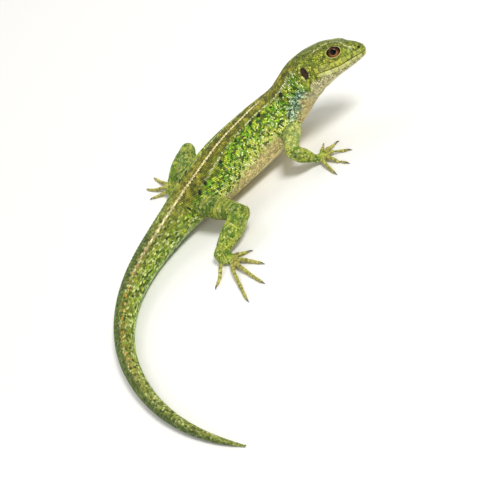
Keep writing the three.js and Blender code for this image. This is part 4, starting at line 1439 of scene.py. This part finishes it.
# On the tip of the snout, as left and height: the shield over the mouth and the one under it.
ROSTRAL = [(-1.2, 0.08), (-0.9, 0.75), (-0.35, 1.2), (0.35, 1.2), (0.9, 0.75), (1.2, 0.08)]
MENTAL = [(-1.1, -0.1), (-0.75, -0.75), (0, -0.95), (0.75, -0.75), (1.1, -0.1)]
SNOUT_SPECK = np.array([(2.2, 1.62)])  # station and height of the dark bead behind the nostril
# Rings of granules round each eye, as half height of the ring, number, size and tone; the second ring's
# dark tone is painted shade round the eye.
LID_RINGS = ((1.72, 34, 0.3, 0.5), (2.02, 36, 0.34, -0.3), (2.36, 36, 0.4, 0.1))


def between(low, high, start, end):
    """The outline between a lower and an upper line, from one station to another."""
    at = np.linspace(start, end, max(int((end - start) / 0.4), 2) + 1)
    return np.concatenate([np.stack([at, low(at)], 1), np.stack([at, high(at)], 1)[::-1]])


class LIZARD_OT_head_shields(bpy.types.Operator):
    """Lay the shields on the head, the lips, the cheeks and the chin, and the granules of the lids"""
    bl_idname = "lizard.head_shields"
    bl_label = "Head shields"

    def execute(self, context):
        coat = Coat("head_shields", 11)
        luck = coat.random.uniform
        top, under = seen_from(-1, math.pi / 2), seen_from(1, -math.pi / 2)
        for half in MIDDLE_SHIELDS.values():
            other = [(at, -across) for at, across in half[::-1] if across > 0]
            coat.shield(half + other, top, 0.12, tone=luck(-0.12, 0.05))
        for side in (-1, 1):
            view = seen_from(side, 0)
            for outline, tone in PAIRED_SHIELDS.values():
                coat.shield(np.multiply(outline, (1, side)), top, 0.12, tone=tone + luck(-0.12, 0.06))
            for cuts, low, high, tone in (
                    (SUPRALABIAL_CUTS, lambda at: MOUTH(at) + 0.1, SUPRALABIAL_TOP, 0.2),
                    (INFRALABIAL_CUTS, INFRALABIAL_BASE, lambda at: MOUTH(at) - 0.1, 0.55)):
                for start, end in zip(cuts, cuts[1:]):
                    coat.shield(between(low, high, start, end), view, 0.11, tone=tone + luck(-0.14, 0.08))
            for outline in SIDE_SHIELDS.values():
                coat.shield(outline, view, 0.11, tone=luck(-0.15, 0.05))
            for start, end in BROW_CUTS:
                outline = [(start, 3.1), (end, 3.1), (end + 0.1, 3.62), (start + 0.1, 3.62)]
                coat.shield(np.multiply(outline, (1, side)), top, 0.1, tone=0.08, step=0.2)
            at = np.arange(2.1, 4.4, 0.4)
            spots = set_on_skin(coat_point(at, BROW_RIDGE(at) * side / half_girth(at)))
            coat.strew(spots, BEAD, 0.36, 0.44, 0.13, tone=0.6)
            for start, end, inside, front, rear in zip(CHIN_CUTS, CHIN_CUTS[1:], CHIN_INSIDE,
                                                       CHIN_OUTSIDE, CHIN_OUTSIDE[1:]):
                outline = [(start, inside), (end, inside + 0.02), (end + 0.45, rear), (start + 0.35, front)]
                coat.shield(np.multiply(outline, (1, side)), under, 0.11, tone=0.2)
        coat.shield(ROSTRAL, seen_from_front, 0.11, tone=0.2)
        coat.shield(MENTAL, seen_from_front, 0.1, tone=0.6)
        for side in (-1, 1):
            view = seen_from(side, 0)
            angle = full_turn(7) + 0.3
            rim = np.stack([NOSTRIL["behind"] + 0.44 * np.cos(angle),
                            NOSTRIL["above"] + 0.42 * np.sin(angle)], 1)
            coat.strew(view(rim)[0], BEAD, 0.36, 0.36, 0.11, tone=-0.05)
            coat.strew(view(SNOUT_SPECK)[0], BEAD, 0.62, 0.56, 0.26, tone=-1.0)
        for centre, out, forward, rise in EYES.values():
            for ring, count, size, tone in LID_RINGS:
                angle = full_turn(count, 0.5 * (ring > 2))
                starts = (centre + forward * (np.cos(angle) * ring * EYE["long"])[:, None]
                          + rise * (np.sin(angle) * ring * EYE["low"])[:, None] + out * 4)
                spots = cast_onto_skin(starts, out, 8)[0]
                keep = free_places(spots, size * 0.2) if ring > 2 else np.ones(count, bool)
                coat.strew(spots[keep], BEAD, size, size, 0.1, tone=tone)
        coat.show("head shields, smooth dry horn", 0.4, "head_scales")
        return {"FINISHED"}


# ---- belly and throat

def on_belly(flat):
    """Lays flat points, as station and arc to the left from the belly's middle line, on the skin."""
    at = flat[:, 0]
    turn = 1 - np.abs(flat[:, 1]) / half_girth(at)
    placed = set_on_skin(coat_point(at, np.where(flat[:, 1] < 0, -turn, turn)))
    return placed, SKIN["normals"][nearest_skin(placed)]


BELLY_START, BELLY_END = 28.2, 65.4
BELLY_COLUMNS = ((0.0, 0.29), (0.29, 0.69), (0.69, 1.0))
BELLY_HALF = curve_through([28, 32, 40, 55, 62, 66], [5.2, 6.6, 8.1, 7.6, 5.6, 3.4])
PLATE_OVERLAP, PLATE_BOW = 0.22, 0.12
COLLAR_PITCH = 1.5
VENT_PLATE = [(65.5, -2.6), (65.5, 2.6), (66.5, 2.2), (66.9, 0.8), (66.9, -0.8), (66.5, -2.2)]


class LIZARD_OT_belly_plates(bpy.types.Operator):
    """Lay the six columns of belly plates, the collar and the vent plate"""
    bl_idname = "lizard.belly_plates"
    bl_label = "Belly plates"

    def execute(self, context):
        coat = Coat("belly_plates", 12)
        rows = round((BELLY_END - BELLY_START) / (context.scene.lizard_coat.plate_length / MM))
        edges = np.linspace(BELLY_START, BELLY_END, rows + 1)
        for start, end in zip(edges, edges[1:]):
            rear = end + PLATE_OVERLAP
            for column in BELLY_COLUMNS:
                a, b = BELLY_HALF((start + end) / 2) * np.array(column)
                outline = [(start, a), (start, b), (rear - PLATE_BOW, b), (rear, a * 0.25 + b * 0.75),
                           (rear, a * 0.75 + b * 0.25), (rear - PLATE_BOW, a)]
                for side in (-1, 1):
                    coat.shield(np.multiply(outline, (1, side)), on_belly, 0.1, tilt=0.55, step=0.42)
        for middle in np.arange(-3, 4) * COLLAR_PITCH:
            outline = [(25.6, -0.74), (25.6, 0.74), (26.8, 0.7), (27.25, 0.3), (27.25, -0.3), (26.8, -0.7)]
            coat.shield(np.add(outline, (0, middle)), on_belly, 0.14, tilt=0.8)
        coat.shield(VENT_PLATE, on_belly, 0.12, tilt=0.5)
        coat.show("belly plates, smooth overlapping horn", 0.36, "belly_scales")
        return {"FINISHED"}


def body_rows(start, end, row, pitch, first=lambda at: 0.0, last=lambda at: 1.0, shrink=lambda at: 1.0):
    """Staggered rows of places on the body, as station and turn, between two turns from the back."""
    places = []
    here = start
    while here < end:
        factor, half = float(shrink(here)), float(half_girth(here))
        count = int(half / (pitch * factor)) + 1
        turns = (np.arange(-count, count + 1) + 0.5 * (len(places) % 2)) * pitch * factor / half
        turns = turns[(np.abs(turns) >= first(here)) & (np.abs(turns) <= last(here))]
        places.append(np.stack([np.full(len(turns), here), turns]))
        here += row * factor
    return np.concatenate(places, 1)


def near_openings(points, eyes=2.5, ears=1.2):
    """True near the eyes, ears, nostrils and the mouth's line."""
    at, _, _, across, above = locate_on_body(points)
    near = (round_ear(at, above) < ears) & (np.abs(across) > 2)
    near |= round_nostril(at, above) < 0.62
    near |= (np.abs(over_mouth(at, above)) < 0.16) & (at < MOUTH_CORNER + 0.3)
    for eye in EYES.values():
        oval, out, _ = round_eye(points, eye)
        near |= (oval < eyes) & (out > 0)
    return near


def place_rows(coat, at, turn, shape, wide, long, high, radius):
    """Strews scales on the body's rows, except where another part or scale is."""
    wanted = coat_point(at, turn)
    roots = set_on_skin(wanted)
    keep = (np.linalg.norm(roots - wanted, axis=1) < 0.5) & ~near_openings(roots)
    keep &= free_places(roots, radius) & (SKIN["owner"][nearest_skin(roots)] < 0)
    half = half_girth(at)
    lie = np.stack([at, turn * half, np.abs(turn)], 1)
    pick = lambda value: np.broadcast_to(value, len(at))[keep]
    coat.strew(roots[keep], shape, pick(wide), pick(long), pick(high), lie=lie[keep],
               bend=(half / math.pi)[keep])


class LIZARD_OT_throat_scales(bpy.types.Operator):
    """Lay the flat scales of the throat"""
    bl_idname = "lizard.throat_scales"
    bl_label = "Throat scales"

    def execute(self, context):
        coat = Coat("throat_scales", 13)
        pitch = context.scene.lizard_coat.throat_pitch / MM
        first = curve_through([5, 10, 14, 20, 26], [0.86, 0.8, 0.68, 0.62, 0.6])
        at, turn = body_rows(5.6, 25.6, pitch * 0.84, pitch, first)
        size = curve_through([5, 10, 20, 25], [0.8, 0.85, 1.0, 1.15])(at) * pitch
        place_rows(coat, at, turn, LEAF, size * 1.06, size * 1.2, 0.13, 0.12)
        coat.show("throat scales, flat dry horn", 0.42, "throat_scales")
        return {"FINISHED"}


class LIZARD_OT_back_scales(bpy.types.Operator):
    """Lay the fine beaded scales of the neck, back and sides"""
    bl_idname = "lizard.back_scales"
    bl_label = "Back scales"

    def execute(self, context):
        coat = Coat("back_scales", 14)
        pitch = context.scene.lizard_coat.back_pitch / MM
        last = curve_through([14, 20, 26, 28, 32, 40, 55, 62, 66, 69],
                             [0.68, 0.61, 0.66, 0.72, 0.66, 0.64, 0.65, 0.7, 0.84, 1.0])
        shrink = curve_through([14, 22, 32, 50, 69], [0.88, 0.92, 1.0, 1.0, 1.12])
        at, turn = body_rows(14.4, 67.9, pitch * 0.89, pitch, last=last, shrink=shrink)
        size = shrink(at) * pitch
        place_rows(coat, at, turn, BEAD, size, size * 1.08, size * 0.3, 0.1)
        coat.show("back scales, small dry horn beads", 0.4, "trunk_scales")
        return {"FINISHED"}


class LIZARD_OT_tail_scales(bpy.types.Operator):
    """Lay the rings of keeled scales round the tail"""
    bl_idname = "lizard.tail_scales"
    bl_label = "Tail scales"

    def execute(self, context):
        coat = Coat("tail_scales", 15)
        ring = context.scene.lizard_coat.whorl_length / MM
        ways = [67, 90, 120, 150, 168]
        lengths = curve_through(ways, [ring, ring, ring * 0.9, ring * 0.68, ring * 0.42])
        widths = curve_through(ways, [0.64, 0.64, 0.6, 0.5, 0.3])
        rows = []
        here = 68.1
        while here < BODY_END - 0.1:
            half = float(half_girth(here))
            count = max(2 * round(half / float(widths(here))), 6)
            turns = once_round((np.arange(count) + 0.5 * (len(rows) % 2)) / count * 2)
            rows.append(np.stack([np.full(count, here), turns, np.full(count, 2 * half / count)]))
            here += float(lengths(here)) * 0.94
        at, turn, wide = np.concatenate(rows, 1)
        high = curve_through([67, 90, 130, 168], [0.15, 0.15, 0.12, 0.06])(at)
        place_rows(coat, at, turn, KEELED, wide * 1.02, lengths(at) * 1.12, high, 0.02)
        coat.show("tail scales, keeled dry horn in rings", 0.42, "tail_scales")
        return {"FINISHED"}


# ---- legs and feet

def clothe(coat, number, row, pitch, high, grow=1.0):
    """Rows of scales round one length of a leg or digit."""
    tube = TUBES[number]
    rows = []
    for index, run in enumerate(np.arange(tube.run[0] + row * 0.5, tube.run[-1] - row * 0.15, row)):
        step = int(np.argmin(np.abs(tube.run - run)))
        a, b = tube.wide[step], tube.high[step]
        around = math.pi * (3 * (a + b) - math.sqrt((3 * a + b) * (a + 3 * b)))
        count = max(round(around / pitch), 5)
        angle = full_turn(count, 0.5 * (index % 2))
        root = (tube.line[step] + tube.side[step] * (np.sin(angle) * a)[:, None]
                + tube.up[step] * (np.cos(angle) * b)[:, None])
        same = np.tile([run, around / count, (a + b) / 2], (count, 1))
        rows.append(np.column_stack([root, once_round(angle / math.pi), same]))
    rows = np.concatenate(rows)
    placed = set_on_skin(rows[:, :3])
    near = nearest_skin(placed)
    keep = (SKIN["owner"][near] == number) & (np.linalg.norm(placed - rows[:, :3], axis=1) < 0.32)
    keep &= free_places(placed, 0.04)
    turn, run, wide, bend = rows[keep, 3:].T
    if len(turn):
        lie = np.stack([run, np.zeros(len(run)), np.abs(turn)], 1)
        coat.strew(placed[keep], LEAF, wide * grow, row * 1.45, high, lie=lie, bend=bend)


class LIZARD_OT_digit_scales(bpy.types.Operator):
    """Lay the rows of scales round the legs, feet and digits"""
    bl_idname = "lizard.digit_scales"
    bl_label = "Leg and digit scales"

    def execute(self, context):
        sizes = context.scene.lizard_coat
        leg, foot = sizes.leg_pitch / MM, sizes.foot_pitch / MM
        legs, digits = Coat("leg_scales", 16), Coat("digit_scales", 17)
        for number, tube in enumerate(TUBES):
            if tube.kind == "digit":
                clothe(digits, number, foot * 1.2, foot * 1.35, 0.075)
            elif tube.kind == "foot":
                clothe(digits, number, foot * 1.05, foot * 1.2, 0.1, 1.02)
            else:
                clothe(legs, number, leg * 0.86, leg, 0.15, 1.02)
        legs.show("leg scales, small overlapping horn", 0.42, "leg_scales")
        digits.show("toe scales, ringed dry horn", 0.42, "digit_scales")
        return {"FINISHED"}


def pick_apart(points, rows, pitch, random):
    """Rows picked by chance, each clearing others within its own pitch."""
    tree = tree_of(points[rows], rows)
    alive = np.zeros(len(points), bool)
    alive[rows] = True
    chosen = []
    for i in random.permutation(rows):
        if alive[i]:
            chosen.append(i)
            for _, other, _ in tree.find_range(points[i], pitch[i] * 0.8):
                alive[other] = False
    return np.array(chosen)


class LIZARD_OT_loose_scales(bpy.types.Operator):
    """Fill the temples, the joints and all places still bare with granules"""
    bl_idname = "lizard.loose_scales"
    bl_label = "Granules in between"

    def execute(self, context):
        coat = Coat("granules", 18)
        sizes = context.scene.lizard_coat
        temple, leg, foot = [size / MM for size in (sizes.temple_pitch, sizes.leg_pitch, sizes.foot_pitch)]
        points = SKIN["points"]
        head, limb, digit = SKIN["zone"].T
        pitch = temple * head + 0.5 * (1 - head) * (1 - limb)
        pitch = pitch + limb * (1 - head) * (leg * 0.9 * (1 - digit) + foot * digit)
        pitch = np.where(SKIN["kinds"] == "foot", foot * 1.05, pitch)
        rows = np.flatnonzero(~near_openings(points, 1.6, 1.12) & (points[:, 2] > 0.1))
        rows = rows[free_places(points[rows], pitch[rows] * 0.2)]
        chosen = pick_apart(points, rows, pitch, coat.random)
        roots, pitch = points[chosen], pitch[chosen]
        room = tree_of(roots)
        reach = np.array([np.mean([hit[2] for hit in room.find_n(root, 5)[1:]]) for root in roots])
        wide = np.clip(reach * 1.04, pitch * 0.85, pitch * 1.35)
        high = np.where(digit[chosen] > 0.5, 0.07, 0.13)
        at, _, _, _, above = locate_on_body(roots)
        tone = 0.4 * (1 - smooth(1.3, 1.7, round_ear(at, above))) * (limb[chosen] < 0.1)
        coat.strew(roots, BEAD, wide, wide, high, lie=SKIN["lie"][chosen], tone=tone)
        coat.show("granules, tiny dry horn beads", 0.42, "leg_scales")
        return {"FINISHED"}


# ---- claws, eyes and eardrums

CLAW_SIDES = 14
CLAW_WIDE, CLAW_HIGH = 0.72, 1.12  # shares of the claw's half thickness across and upward
EYE_SIDES, EYE_RINGS = 64, 48
CORNEA = 0.07  # how far the eyeball's clear front bulges, as a share of it
EARDRUM_SIDES = 40
EARDRUM_THICKNESS = 0.15
EARDRUM_SHARES = np.array([0.0001, 0.35, 0.65, 0.9, 1.12])[:, None]


def claw_horn(tree):
    """Horn polished by wear: an olive root that darkens to a brown point."""
    grain = fine_noise(tree, 0.4)
    share = add(tree, "Attribute", attribute_name="share").outputs["Fac"]
    way = work_out(tree, "MULTIPLY_ADD", grain, 0.3, share)
    hue = mix(tree, soft_step(tree, way, 0.4, 0.75), linear("#8A7C40"), linear("#1D1610"))
    return {"Base Color": hue, "Roughness": 0.3}


class LIZARD_OT_claws(bpy.types.Operator):
    """Make the curved claws"""
    bl_idname = "lizard.claws"
    bl_label = "Claws"

    def execute(self, context):
        shells, shares = [], []
        angle = full_turn(CLAW_SIDES)
        for tube in TUBES:
            if tube.kind != "digit":
                continue
            line = tube.claw
            along = unit(np.gradient(line, axis=0))
            side = unit(np.cross(along, [0, 0, 1.0]))
            up = np.cross(side, along)
            t = np.linspace(0, 1, len(line))
            radius = (CLAW["base"] * (1 - t)**0.75 + 0.025)[:, None, None]
            shell = closed_tube(
                line[:, None] - up[:, None] * 0.02
                + side[:, None] * (np.cos(angle) * CLAW_WIDE)[:, None] * radius
                + up[:, None] * (np.sin(angle) * CLAW_HIGH)[:, None] * radius)
            shell[0][:, 2] = np.maximum(shell[0][:, 2], SCALE_LEVEL)
            shells.append(shell)
            shares += [np.repeat(t, CLAW_SIDES), [0, 1]]
        mesh = make_mesh("claws", *join_shells(shells))
        write_vectors(mesh, share=np.tile(np.concatenate(shares)[:, None], 3))
        show("claws", mesh, make_material("claw horn, dark and polished by wear", claw_horn), "claw")
        return {"FINISHED"}


def wet_eye(tree):
    """A wet eye: black round pupil, gold ring, orange brown iris with fine rays and a dark rim, with
    painted shade on the iris's upper half.
    """
    disc = add(tree, "SeparateXYZ", {0: add(tree, "Attribute", attribute_name="iris").outputs["Vector"]})
    reach, ahead, up = disc.outputs
    spokes = add(tree, "CombineXYZ", {0: work_out(tree, "ARCTAN2", up, ahead), 1: reach})
    stretched = add(tree, "VectorMath", {0: spokes.outputs[0], 1: (5.0, 1.2, 1.0)}, operation="MULTIPLY")
    rays = add(tree, "TexNoise", {"Vector": stretched.outputs[0], "Scale": 1.6, "Detail": 3.0})
    ray = rays.outputs["Fac"]
    wobble = work_out(tree, "MULTIPLY_ADD", ray, 0.12, reach)
    ring, rays_on = soft_step(tree, wobble, 1.02, 0.9), soft_step(tree, ray, 0.42, 0.66)
    iris = [mix(tree, ring, mix(tree, rays_on, linear(dark), linear(light)), linear(gold))
            for dark, light, gold in (("#2A170B", "#4C2B17", "#644222"), ("#6E3C1C", "#A06030", "#B88448"))]
    # Painted shade: the iris darker in its upper half and lighter below.
    paint = mix(tree, soft_step(tree, up, 0.5, -0.9), *iris)
    paint = mix(tree, soft_step(tree, wobble, 1.34, 1.56), paint, linear("#100A06"))
    paint = mix(tree, soft_step(tree, reach, 0.84, 0.76), paint, linear("#010101"))
    return {"Base Color": paint, "Roughness": 0.35, "Coat Weight": 0.55, "Coat Roughness": 0.02,
            "Coat IOR": 1.38, "Specular IOR Level": 0.0}


class LIZARD_OT_eyes(bpy.types.Operator):
    """Make the two eyeballs with their clear front"""
    bl_idname = "lizard.eyes"
    bl_label = "Eyes"

    def execute(self, context):
        material = make_material("wet eye with a brown iris", wet_eye)
        polar = np.linspace(0.02, math.pi - 0.02, EYE_RINGS)[:, None]
        angle = full_turn(EYE_SIDES)[None]
        height = np.cos(polar) + CORNEA * (1 - smooth(0.3, 0.75, polar))
        local = np.stack([np.sin(polar) * np.cos(angle), np.sin(polar) * np.sin(angle),
                          np.broadcast_to(height, (EYE_RINGS, EYE_SIDES))], -1) * EYE["ball"]
        for name, (centre, out, forward, rise) in EYES.items():
            flip = 1 if np.cross(forward, rise) @ out > 0 else -1
            grid = centre + local @ np.array([forward * flip, rise, out])
            shell = closed_tube(grid[::-1])
            mesh = make_mesh(name + "_eyeball", *shell)
            offset = shell[0] - centre
            ahead, up = offset @ forward, offset @ rise
            reach = np.where(offset @ out > 0, np.hypot(ahead, up), 3)
            write_vectors(mesh, iris=np.stack([reach, ahead, up], 1))
            show(name + "_eyeball", mesh, material, "eye", "eye_" + name)
        return {"FINISHED"}


def eardrum_skin(tree):
    """Thin stretched skin: a soft sheen over dark brown, a little cloudy."""
    hue = mix(tree, fine_noise(tree, 0.8), linear("#140E08"), linear("#4B3620"))
    return {"Base Color": hue, "Roughness": 0.5, "Specular IOR Level": 0.2}


class LIZARD_OT_eardrums(bpy.types.Operator):
    """Make the two eardrums, stretched a little below the head's surface"""
    bl_idname = "lizard.eardrums"
    bl_label = "Eardrums"

    def execute(self, context):
        material = make_material("eardrum, thin stretched skin", eardrum_skin)
        angle = full_turn(EARDRUM_SIDES)
        origin, _, left, up = axes_at(EAR["behind"] + EARDRUM_SHARES * np.cos(angle) * EAR["long"])
        height = EAR["above"] + EARDRUM_SHARES * np.sin(angle) * EAR["high"]
        wide, top, bottom, crown, belly = [BODY[name](EAR["behind"]) for name in STATION_COLUMNS[4:]]
        high, full = np.where(height > 0, top, bottom), np.where(height > 0, crown, belly)
        across = wide * (1 - np.abs(height / high)**full)**(1 / full)
        depth = 0.62 - 0.22 * EARDRUM_SHARES**2
        for name, side in SIDES.items():
            front, back = [origin + up * height[..., None] + left * side * (across - inset)[..., None]
                           for inset in (depth, depth + EARDRUM_THICKNESS)]
            grid = np.concatenate([back, front[::-1]])
            mesh = make_mesh(name + "_eardrum", *closed_tube(grid if side > 0 else grid[:, ::-1]))
            show(name + "_eardrum", mesh, material, "eardrum", "ear_" + name)
        return {"FINISHED"}


# ---- the stage

FLOOR_HEIGHT = -0.02  # a hair below the animal's feet
VIEW_CENTRE = Vector((3.6, 6.2, 0)) * MM
# Lights by name, as place in metres, side of the soft box and watts; all aim at the middle.
LIGHTS = {"key light": ((-0.35, -0.32, 0.62), 0.2, 5.0), "fill light": ((-0.45, 0.45, 0.35), 0.6, 1.1),
          "rim light": ((0.5, 0.1, 0.5), 0.5, 1.5)}
SKY_STRENGTH = 0.41


def paper_board(tree):
    """Matt white paper board: no gloss, so that only soft shadows show on it."""
    return {"Base Color": linear("#F1EFEA"), "Roughness": 0.85}


class LIZARD_OT_stage(bpy.types.Operator):
    """Set the pale floor, the soft lights and the camera"""
    bl_idname = "lizard.stage"
    bl_label = "Stage"

    def execute(self, context):
        scene = context.scene
        settings = scene.lizard_stage
        half = settings.floor_width / 2 / MM
        corners = [(x * half, y * half, FLOOR_HEIGHT) for x, y in ((-1, -1), (1, -1), (1, 1), (-1, 1))]
        mesh = make_mesh("floor", corners, [0, 1, 2, 3], [4])
        mesh.materials.append(make_material("matt white paper board", paper_board))
        put_in_scene("floor", mesh)

        camera = bpy.data.cameras.new("camera")
        camera.sensor_width = 36
        camera.lens = camera.sensor_width / 2 / math.tan(settings.field_of_view / 2)
        camera.clip_start = 0.01
        scene.camera = put_in_scene("camera", camera)
        scene.camera.matrix_world = (
            Matrix.Translation(VIEW_CENTRE) @ Matrix.Rotation(-math.pi / 2, 4, "Z")
            @ Matrix.Rotation(math.pi / 2 - settings.camera_height, 4, "X")
            @ Matrix.Rotation(-settings.camera_roll, 4, "Z")
            @ Matrix.Translation((0, 0, settings.camera_distance)))

        for name, (where, size, watts) in LIGHTS.items():
            lamp = bpy.data.lights.new(name, "AREA")
            lamp.energy = watts
            lamp.size = size
            light = put_in_scene(name, lamp)
            light.location = where
            light.rotation_euler = (-Vector(where)).to_track_quat("-Z", "Y").to_euler()
        world = bpy.data.worlds.new("studio")
        world.use_nodes = True
        sky = world.node_tree.nodes["Background"].inputs
        sky["Color"].default_value = linear("#F4F6F8")
        sky["Strength"].default_value = SKY_STRENGTH
        scene.world = world
        scene.view_settings.view_transform = "Standard"
        return {"FINISHED"}


# ---- registering and running

PROPERTY_GROUPS = (("lizard_coat", LizardCoat), ("lizard_colours", LizardColours),
                   ("lizard_stage", LizardStage))
OPERATORS = (LIZARD_OT_stage, LIZARD_OT_skin, LIZARD_OT_head_shields, LIZARD_OT_belly_plates,
             LIZARD_OT_throat_scales, LIZARD_OT_back_scales, LIZARD_OT_tail_scales,
             LIZARD_OT_digit_scales, LIZARD_OT_loose_scales, LIZARD_OT_claws, LIZARD_OT_eyes,
             LIZARD_OT_eardrums)


class LIZARD_PT_panel(bpy.types.Panel):
    """Lists the pieces of the lizard in the order in which they are made"""
    bl_idname = "LIZARD_PT_panel"
    bl_label = "Wall Lizard"
    bl_space_type = "VIEW_3D"
    bl_region_type = "UI"
    bl_category = "Lizard"

    def draw(self, context):
        for operator in OPERATORS:
            self.layout.operator(operator.bl_idname)


def register():
    for name, group in PROPERTY_GROUPS:
        bpy.utils.register_class(group)
        setattr(bpy.types.Scene, name, PointerProperty(type=group))
    for operator in OPERATORS:
        bpy.utils.register_class(operator)
    bpy.utils.register_class(LIZARD_PT_panel)


def unregister():
    bpy.utils.unregister_class(LIZARD_PT_panel)
    for operator in reversed(OPERATORS):
        bpy.utils.unregister_class(operator)
    for name, group in reversed(PROPERTY_GROUPS):
        delattr(bpy.types.Scene, name)
        bpy.utils.unregister_class(group)


def main():
    register()
    for operator in OPERATORS:
        getattr(bpy.ops.lizard, operator.bl_idname.split(".")[1])()


if __name__ == "__main__":
    main()
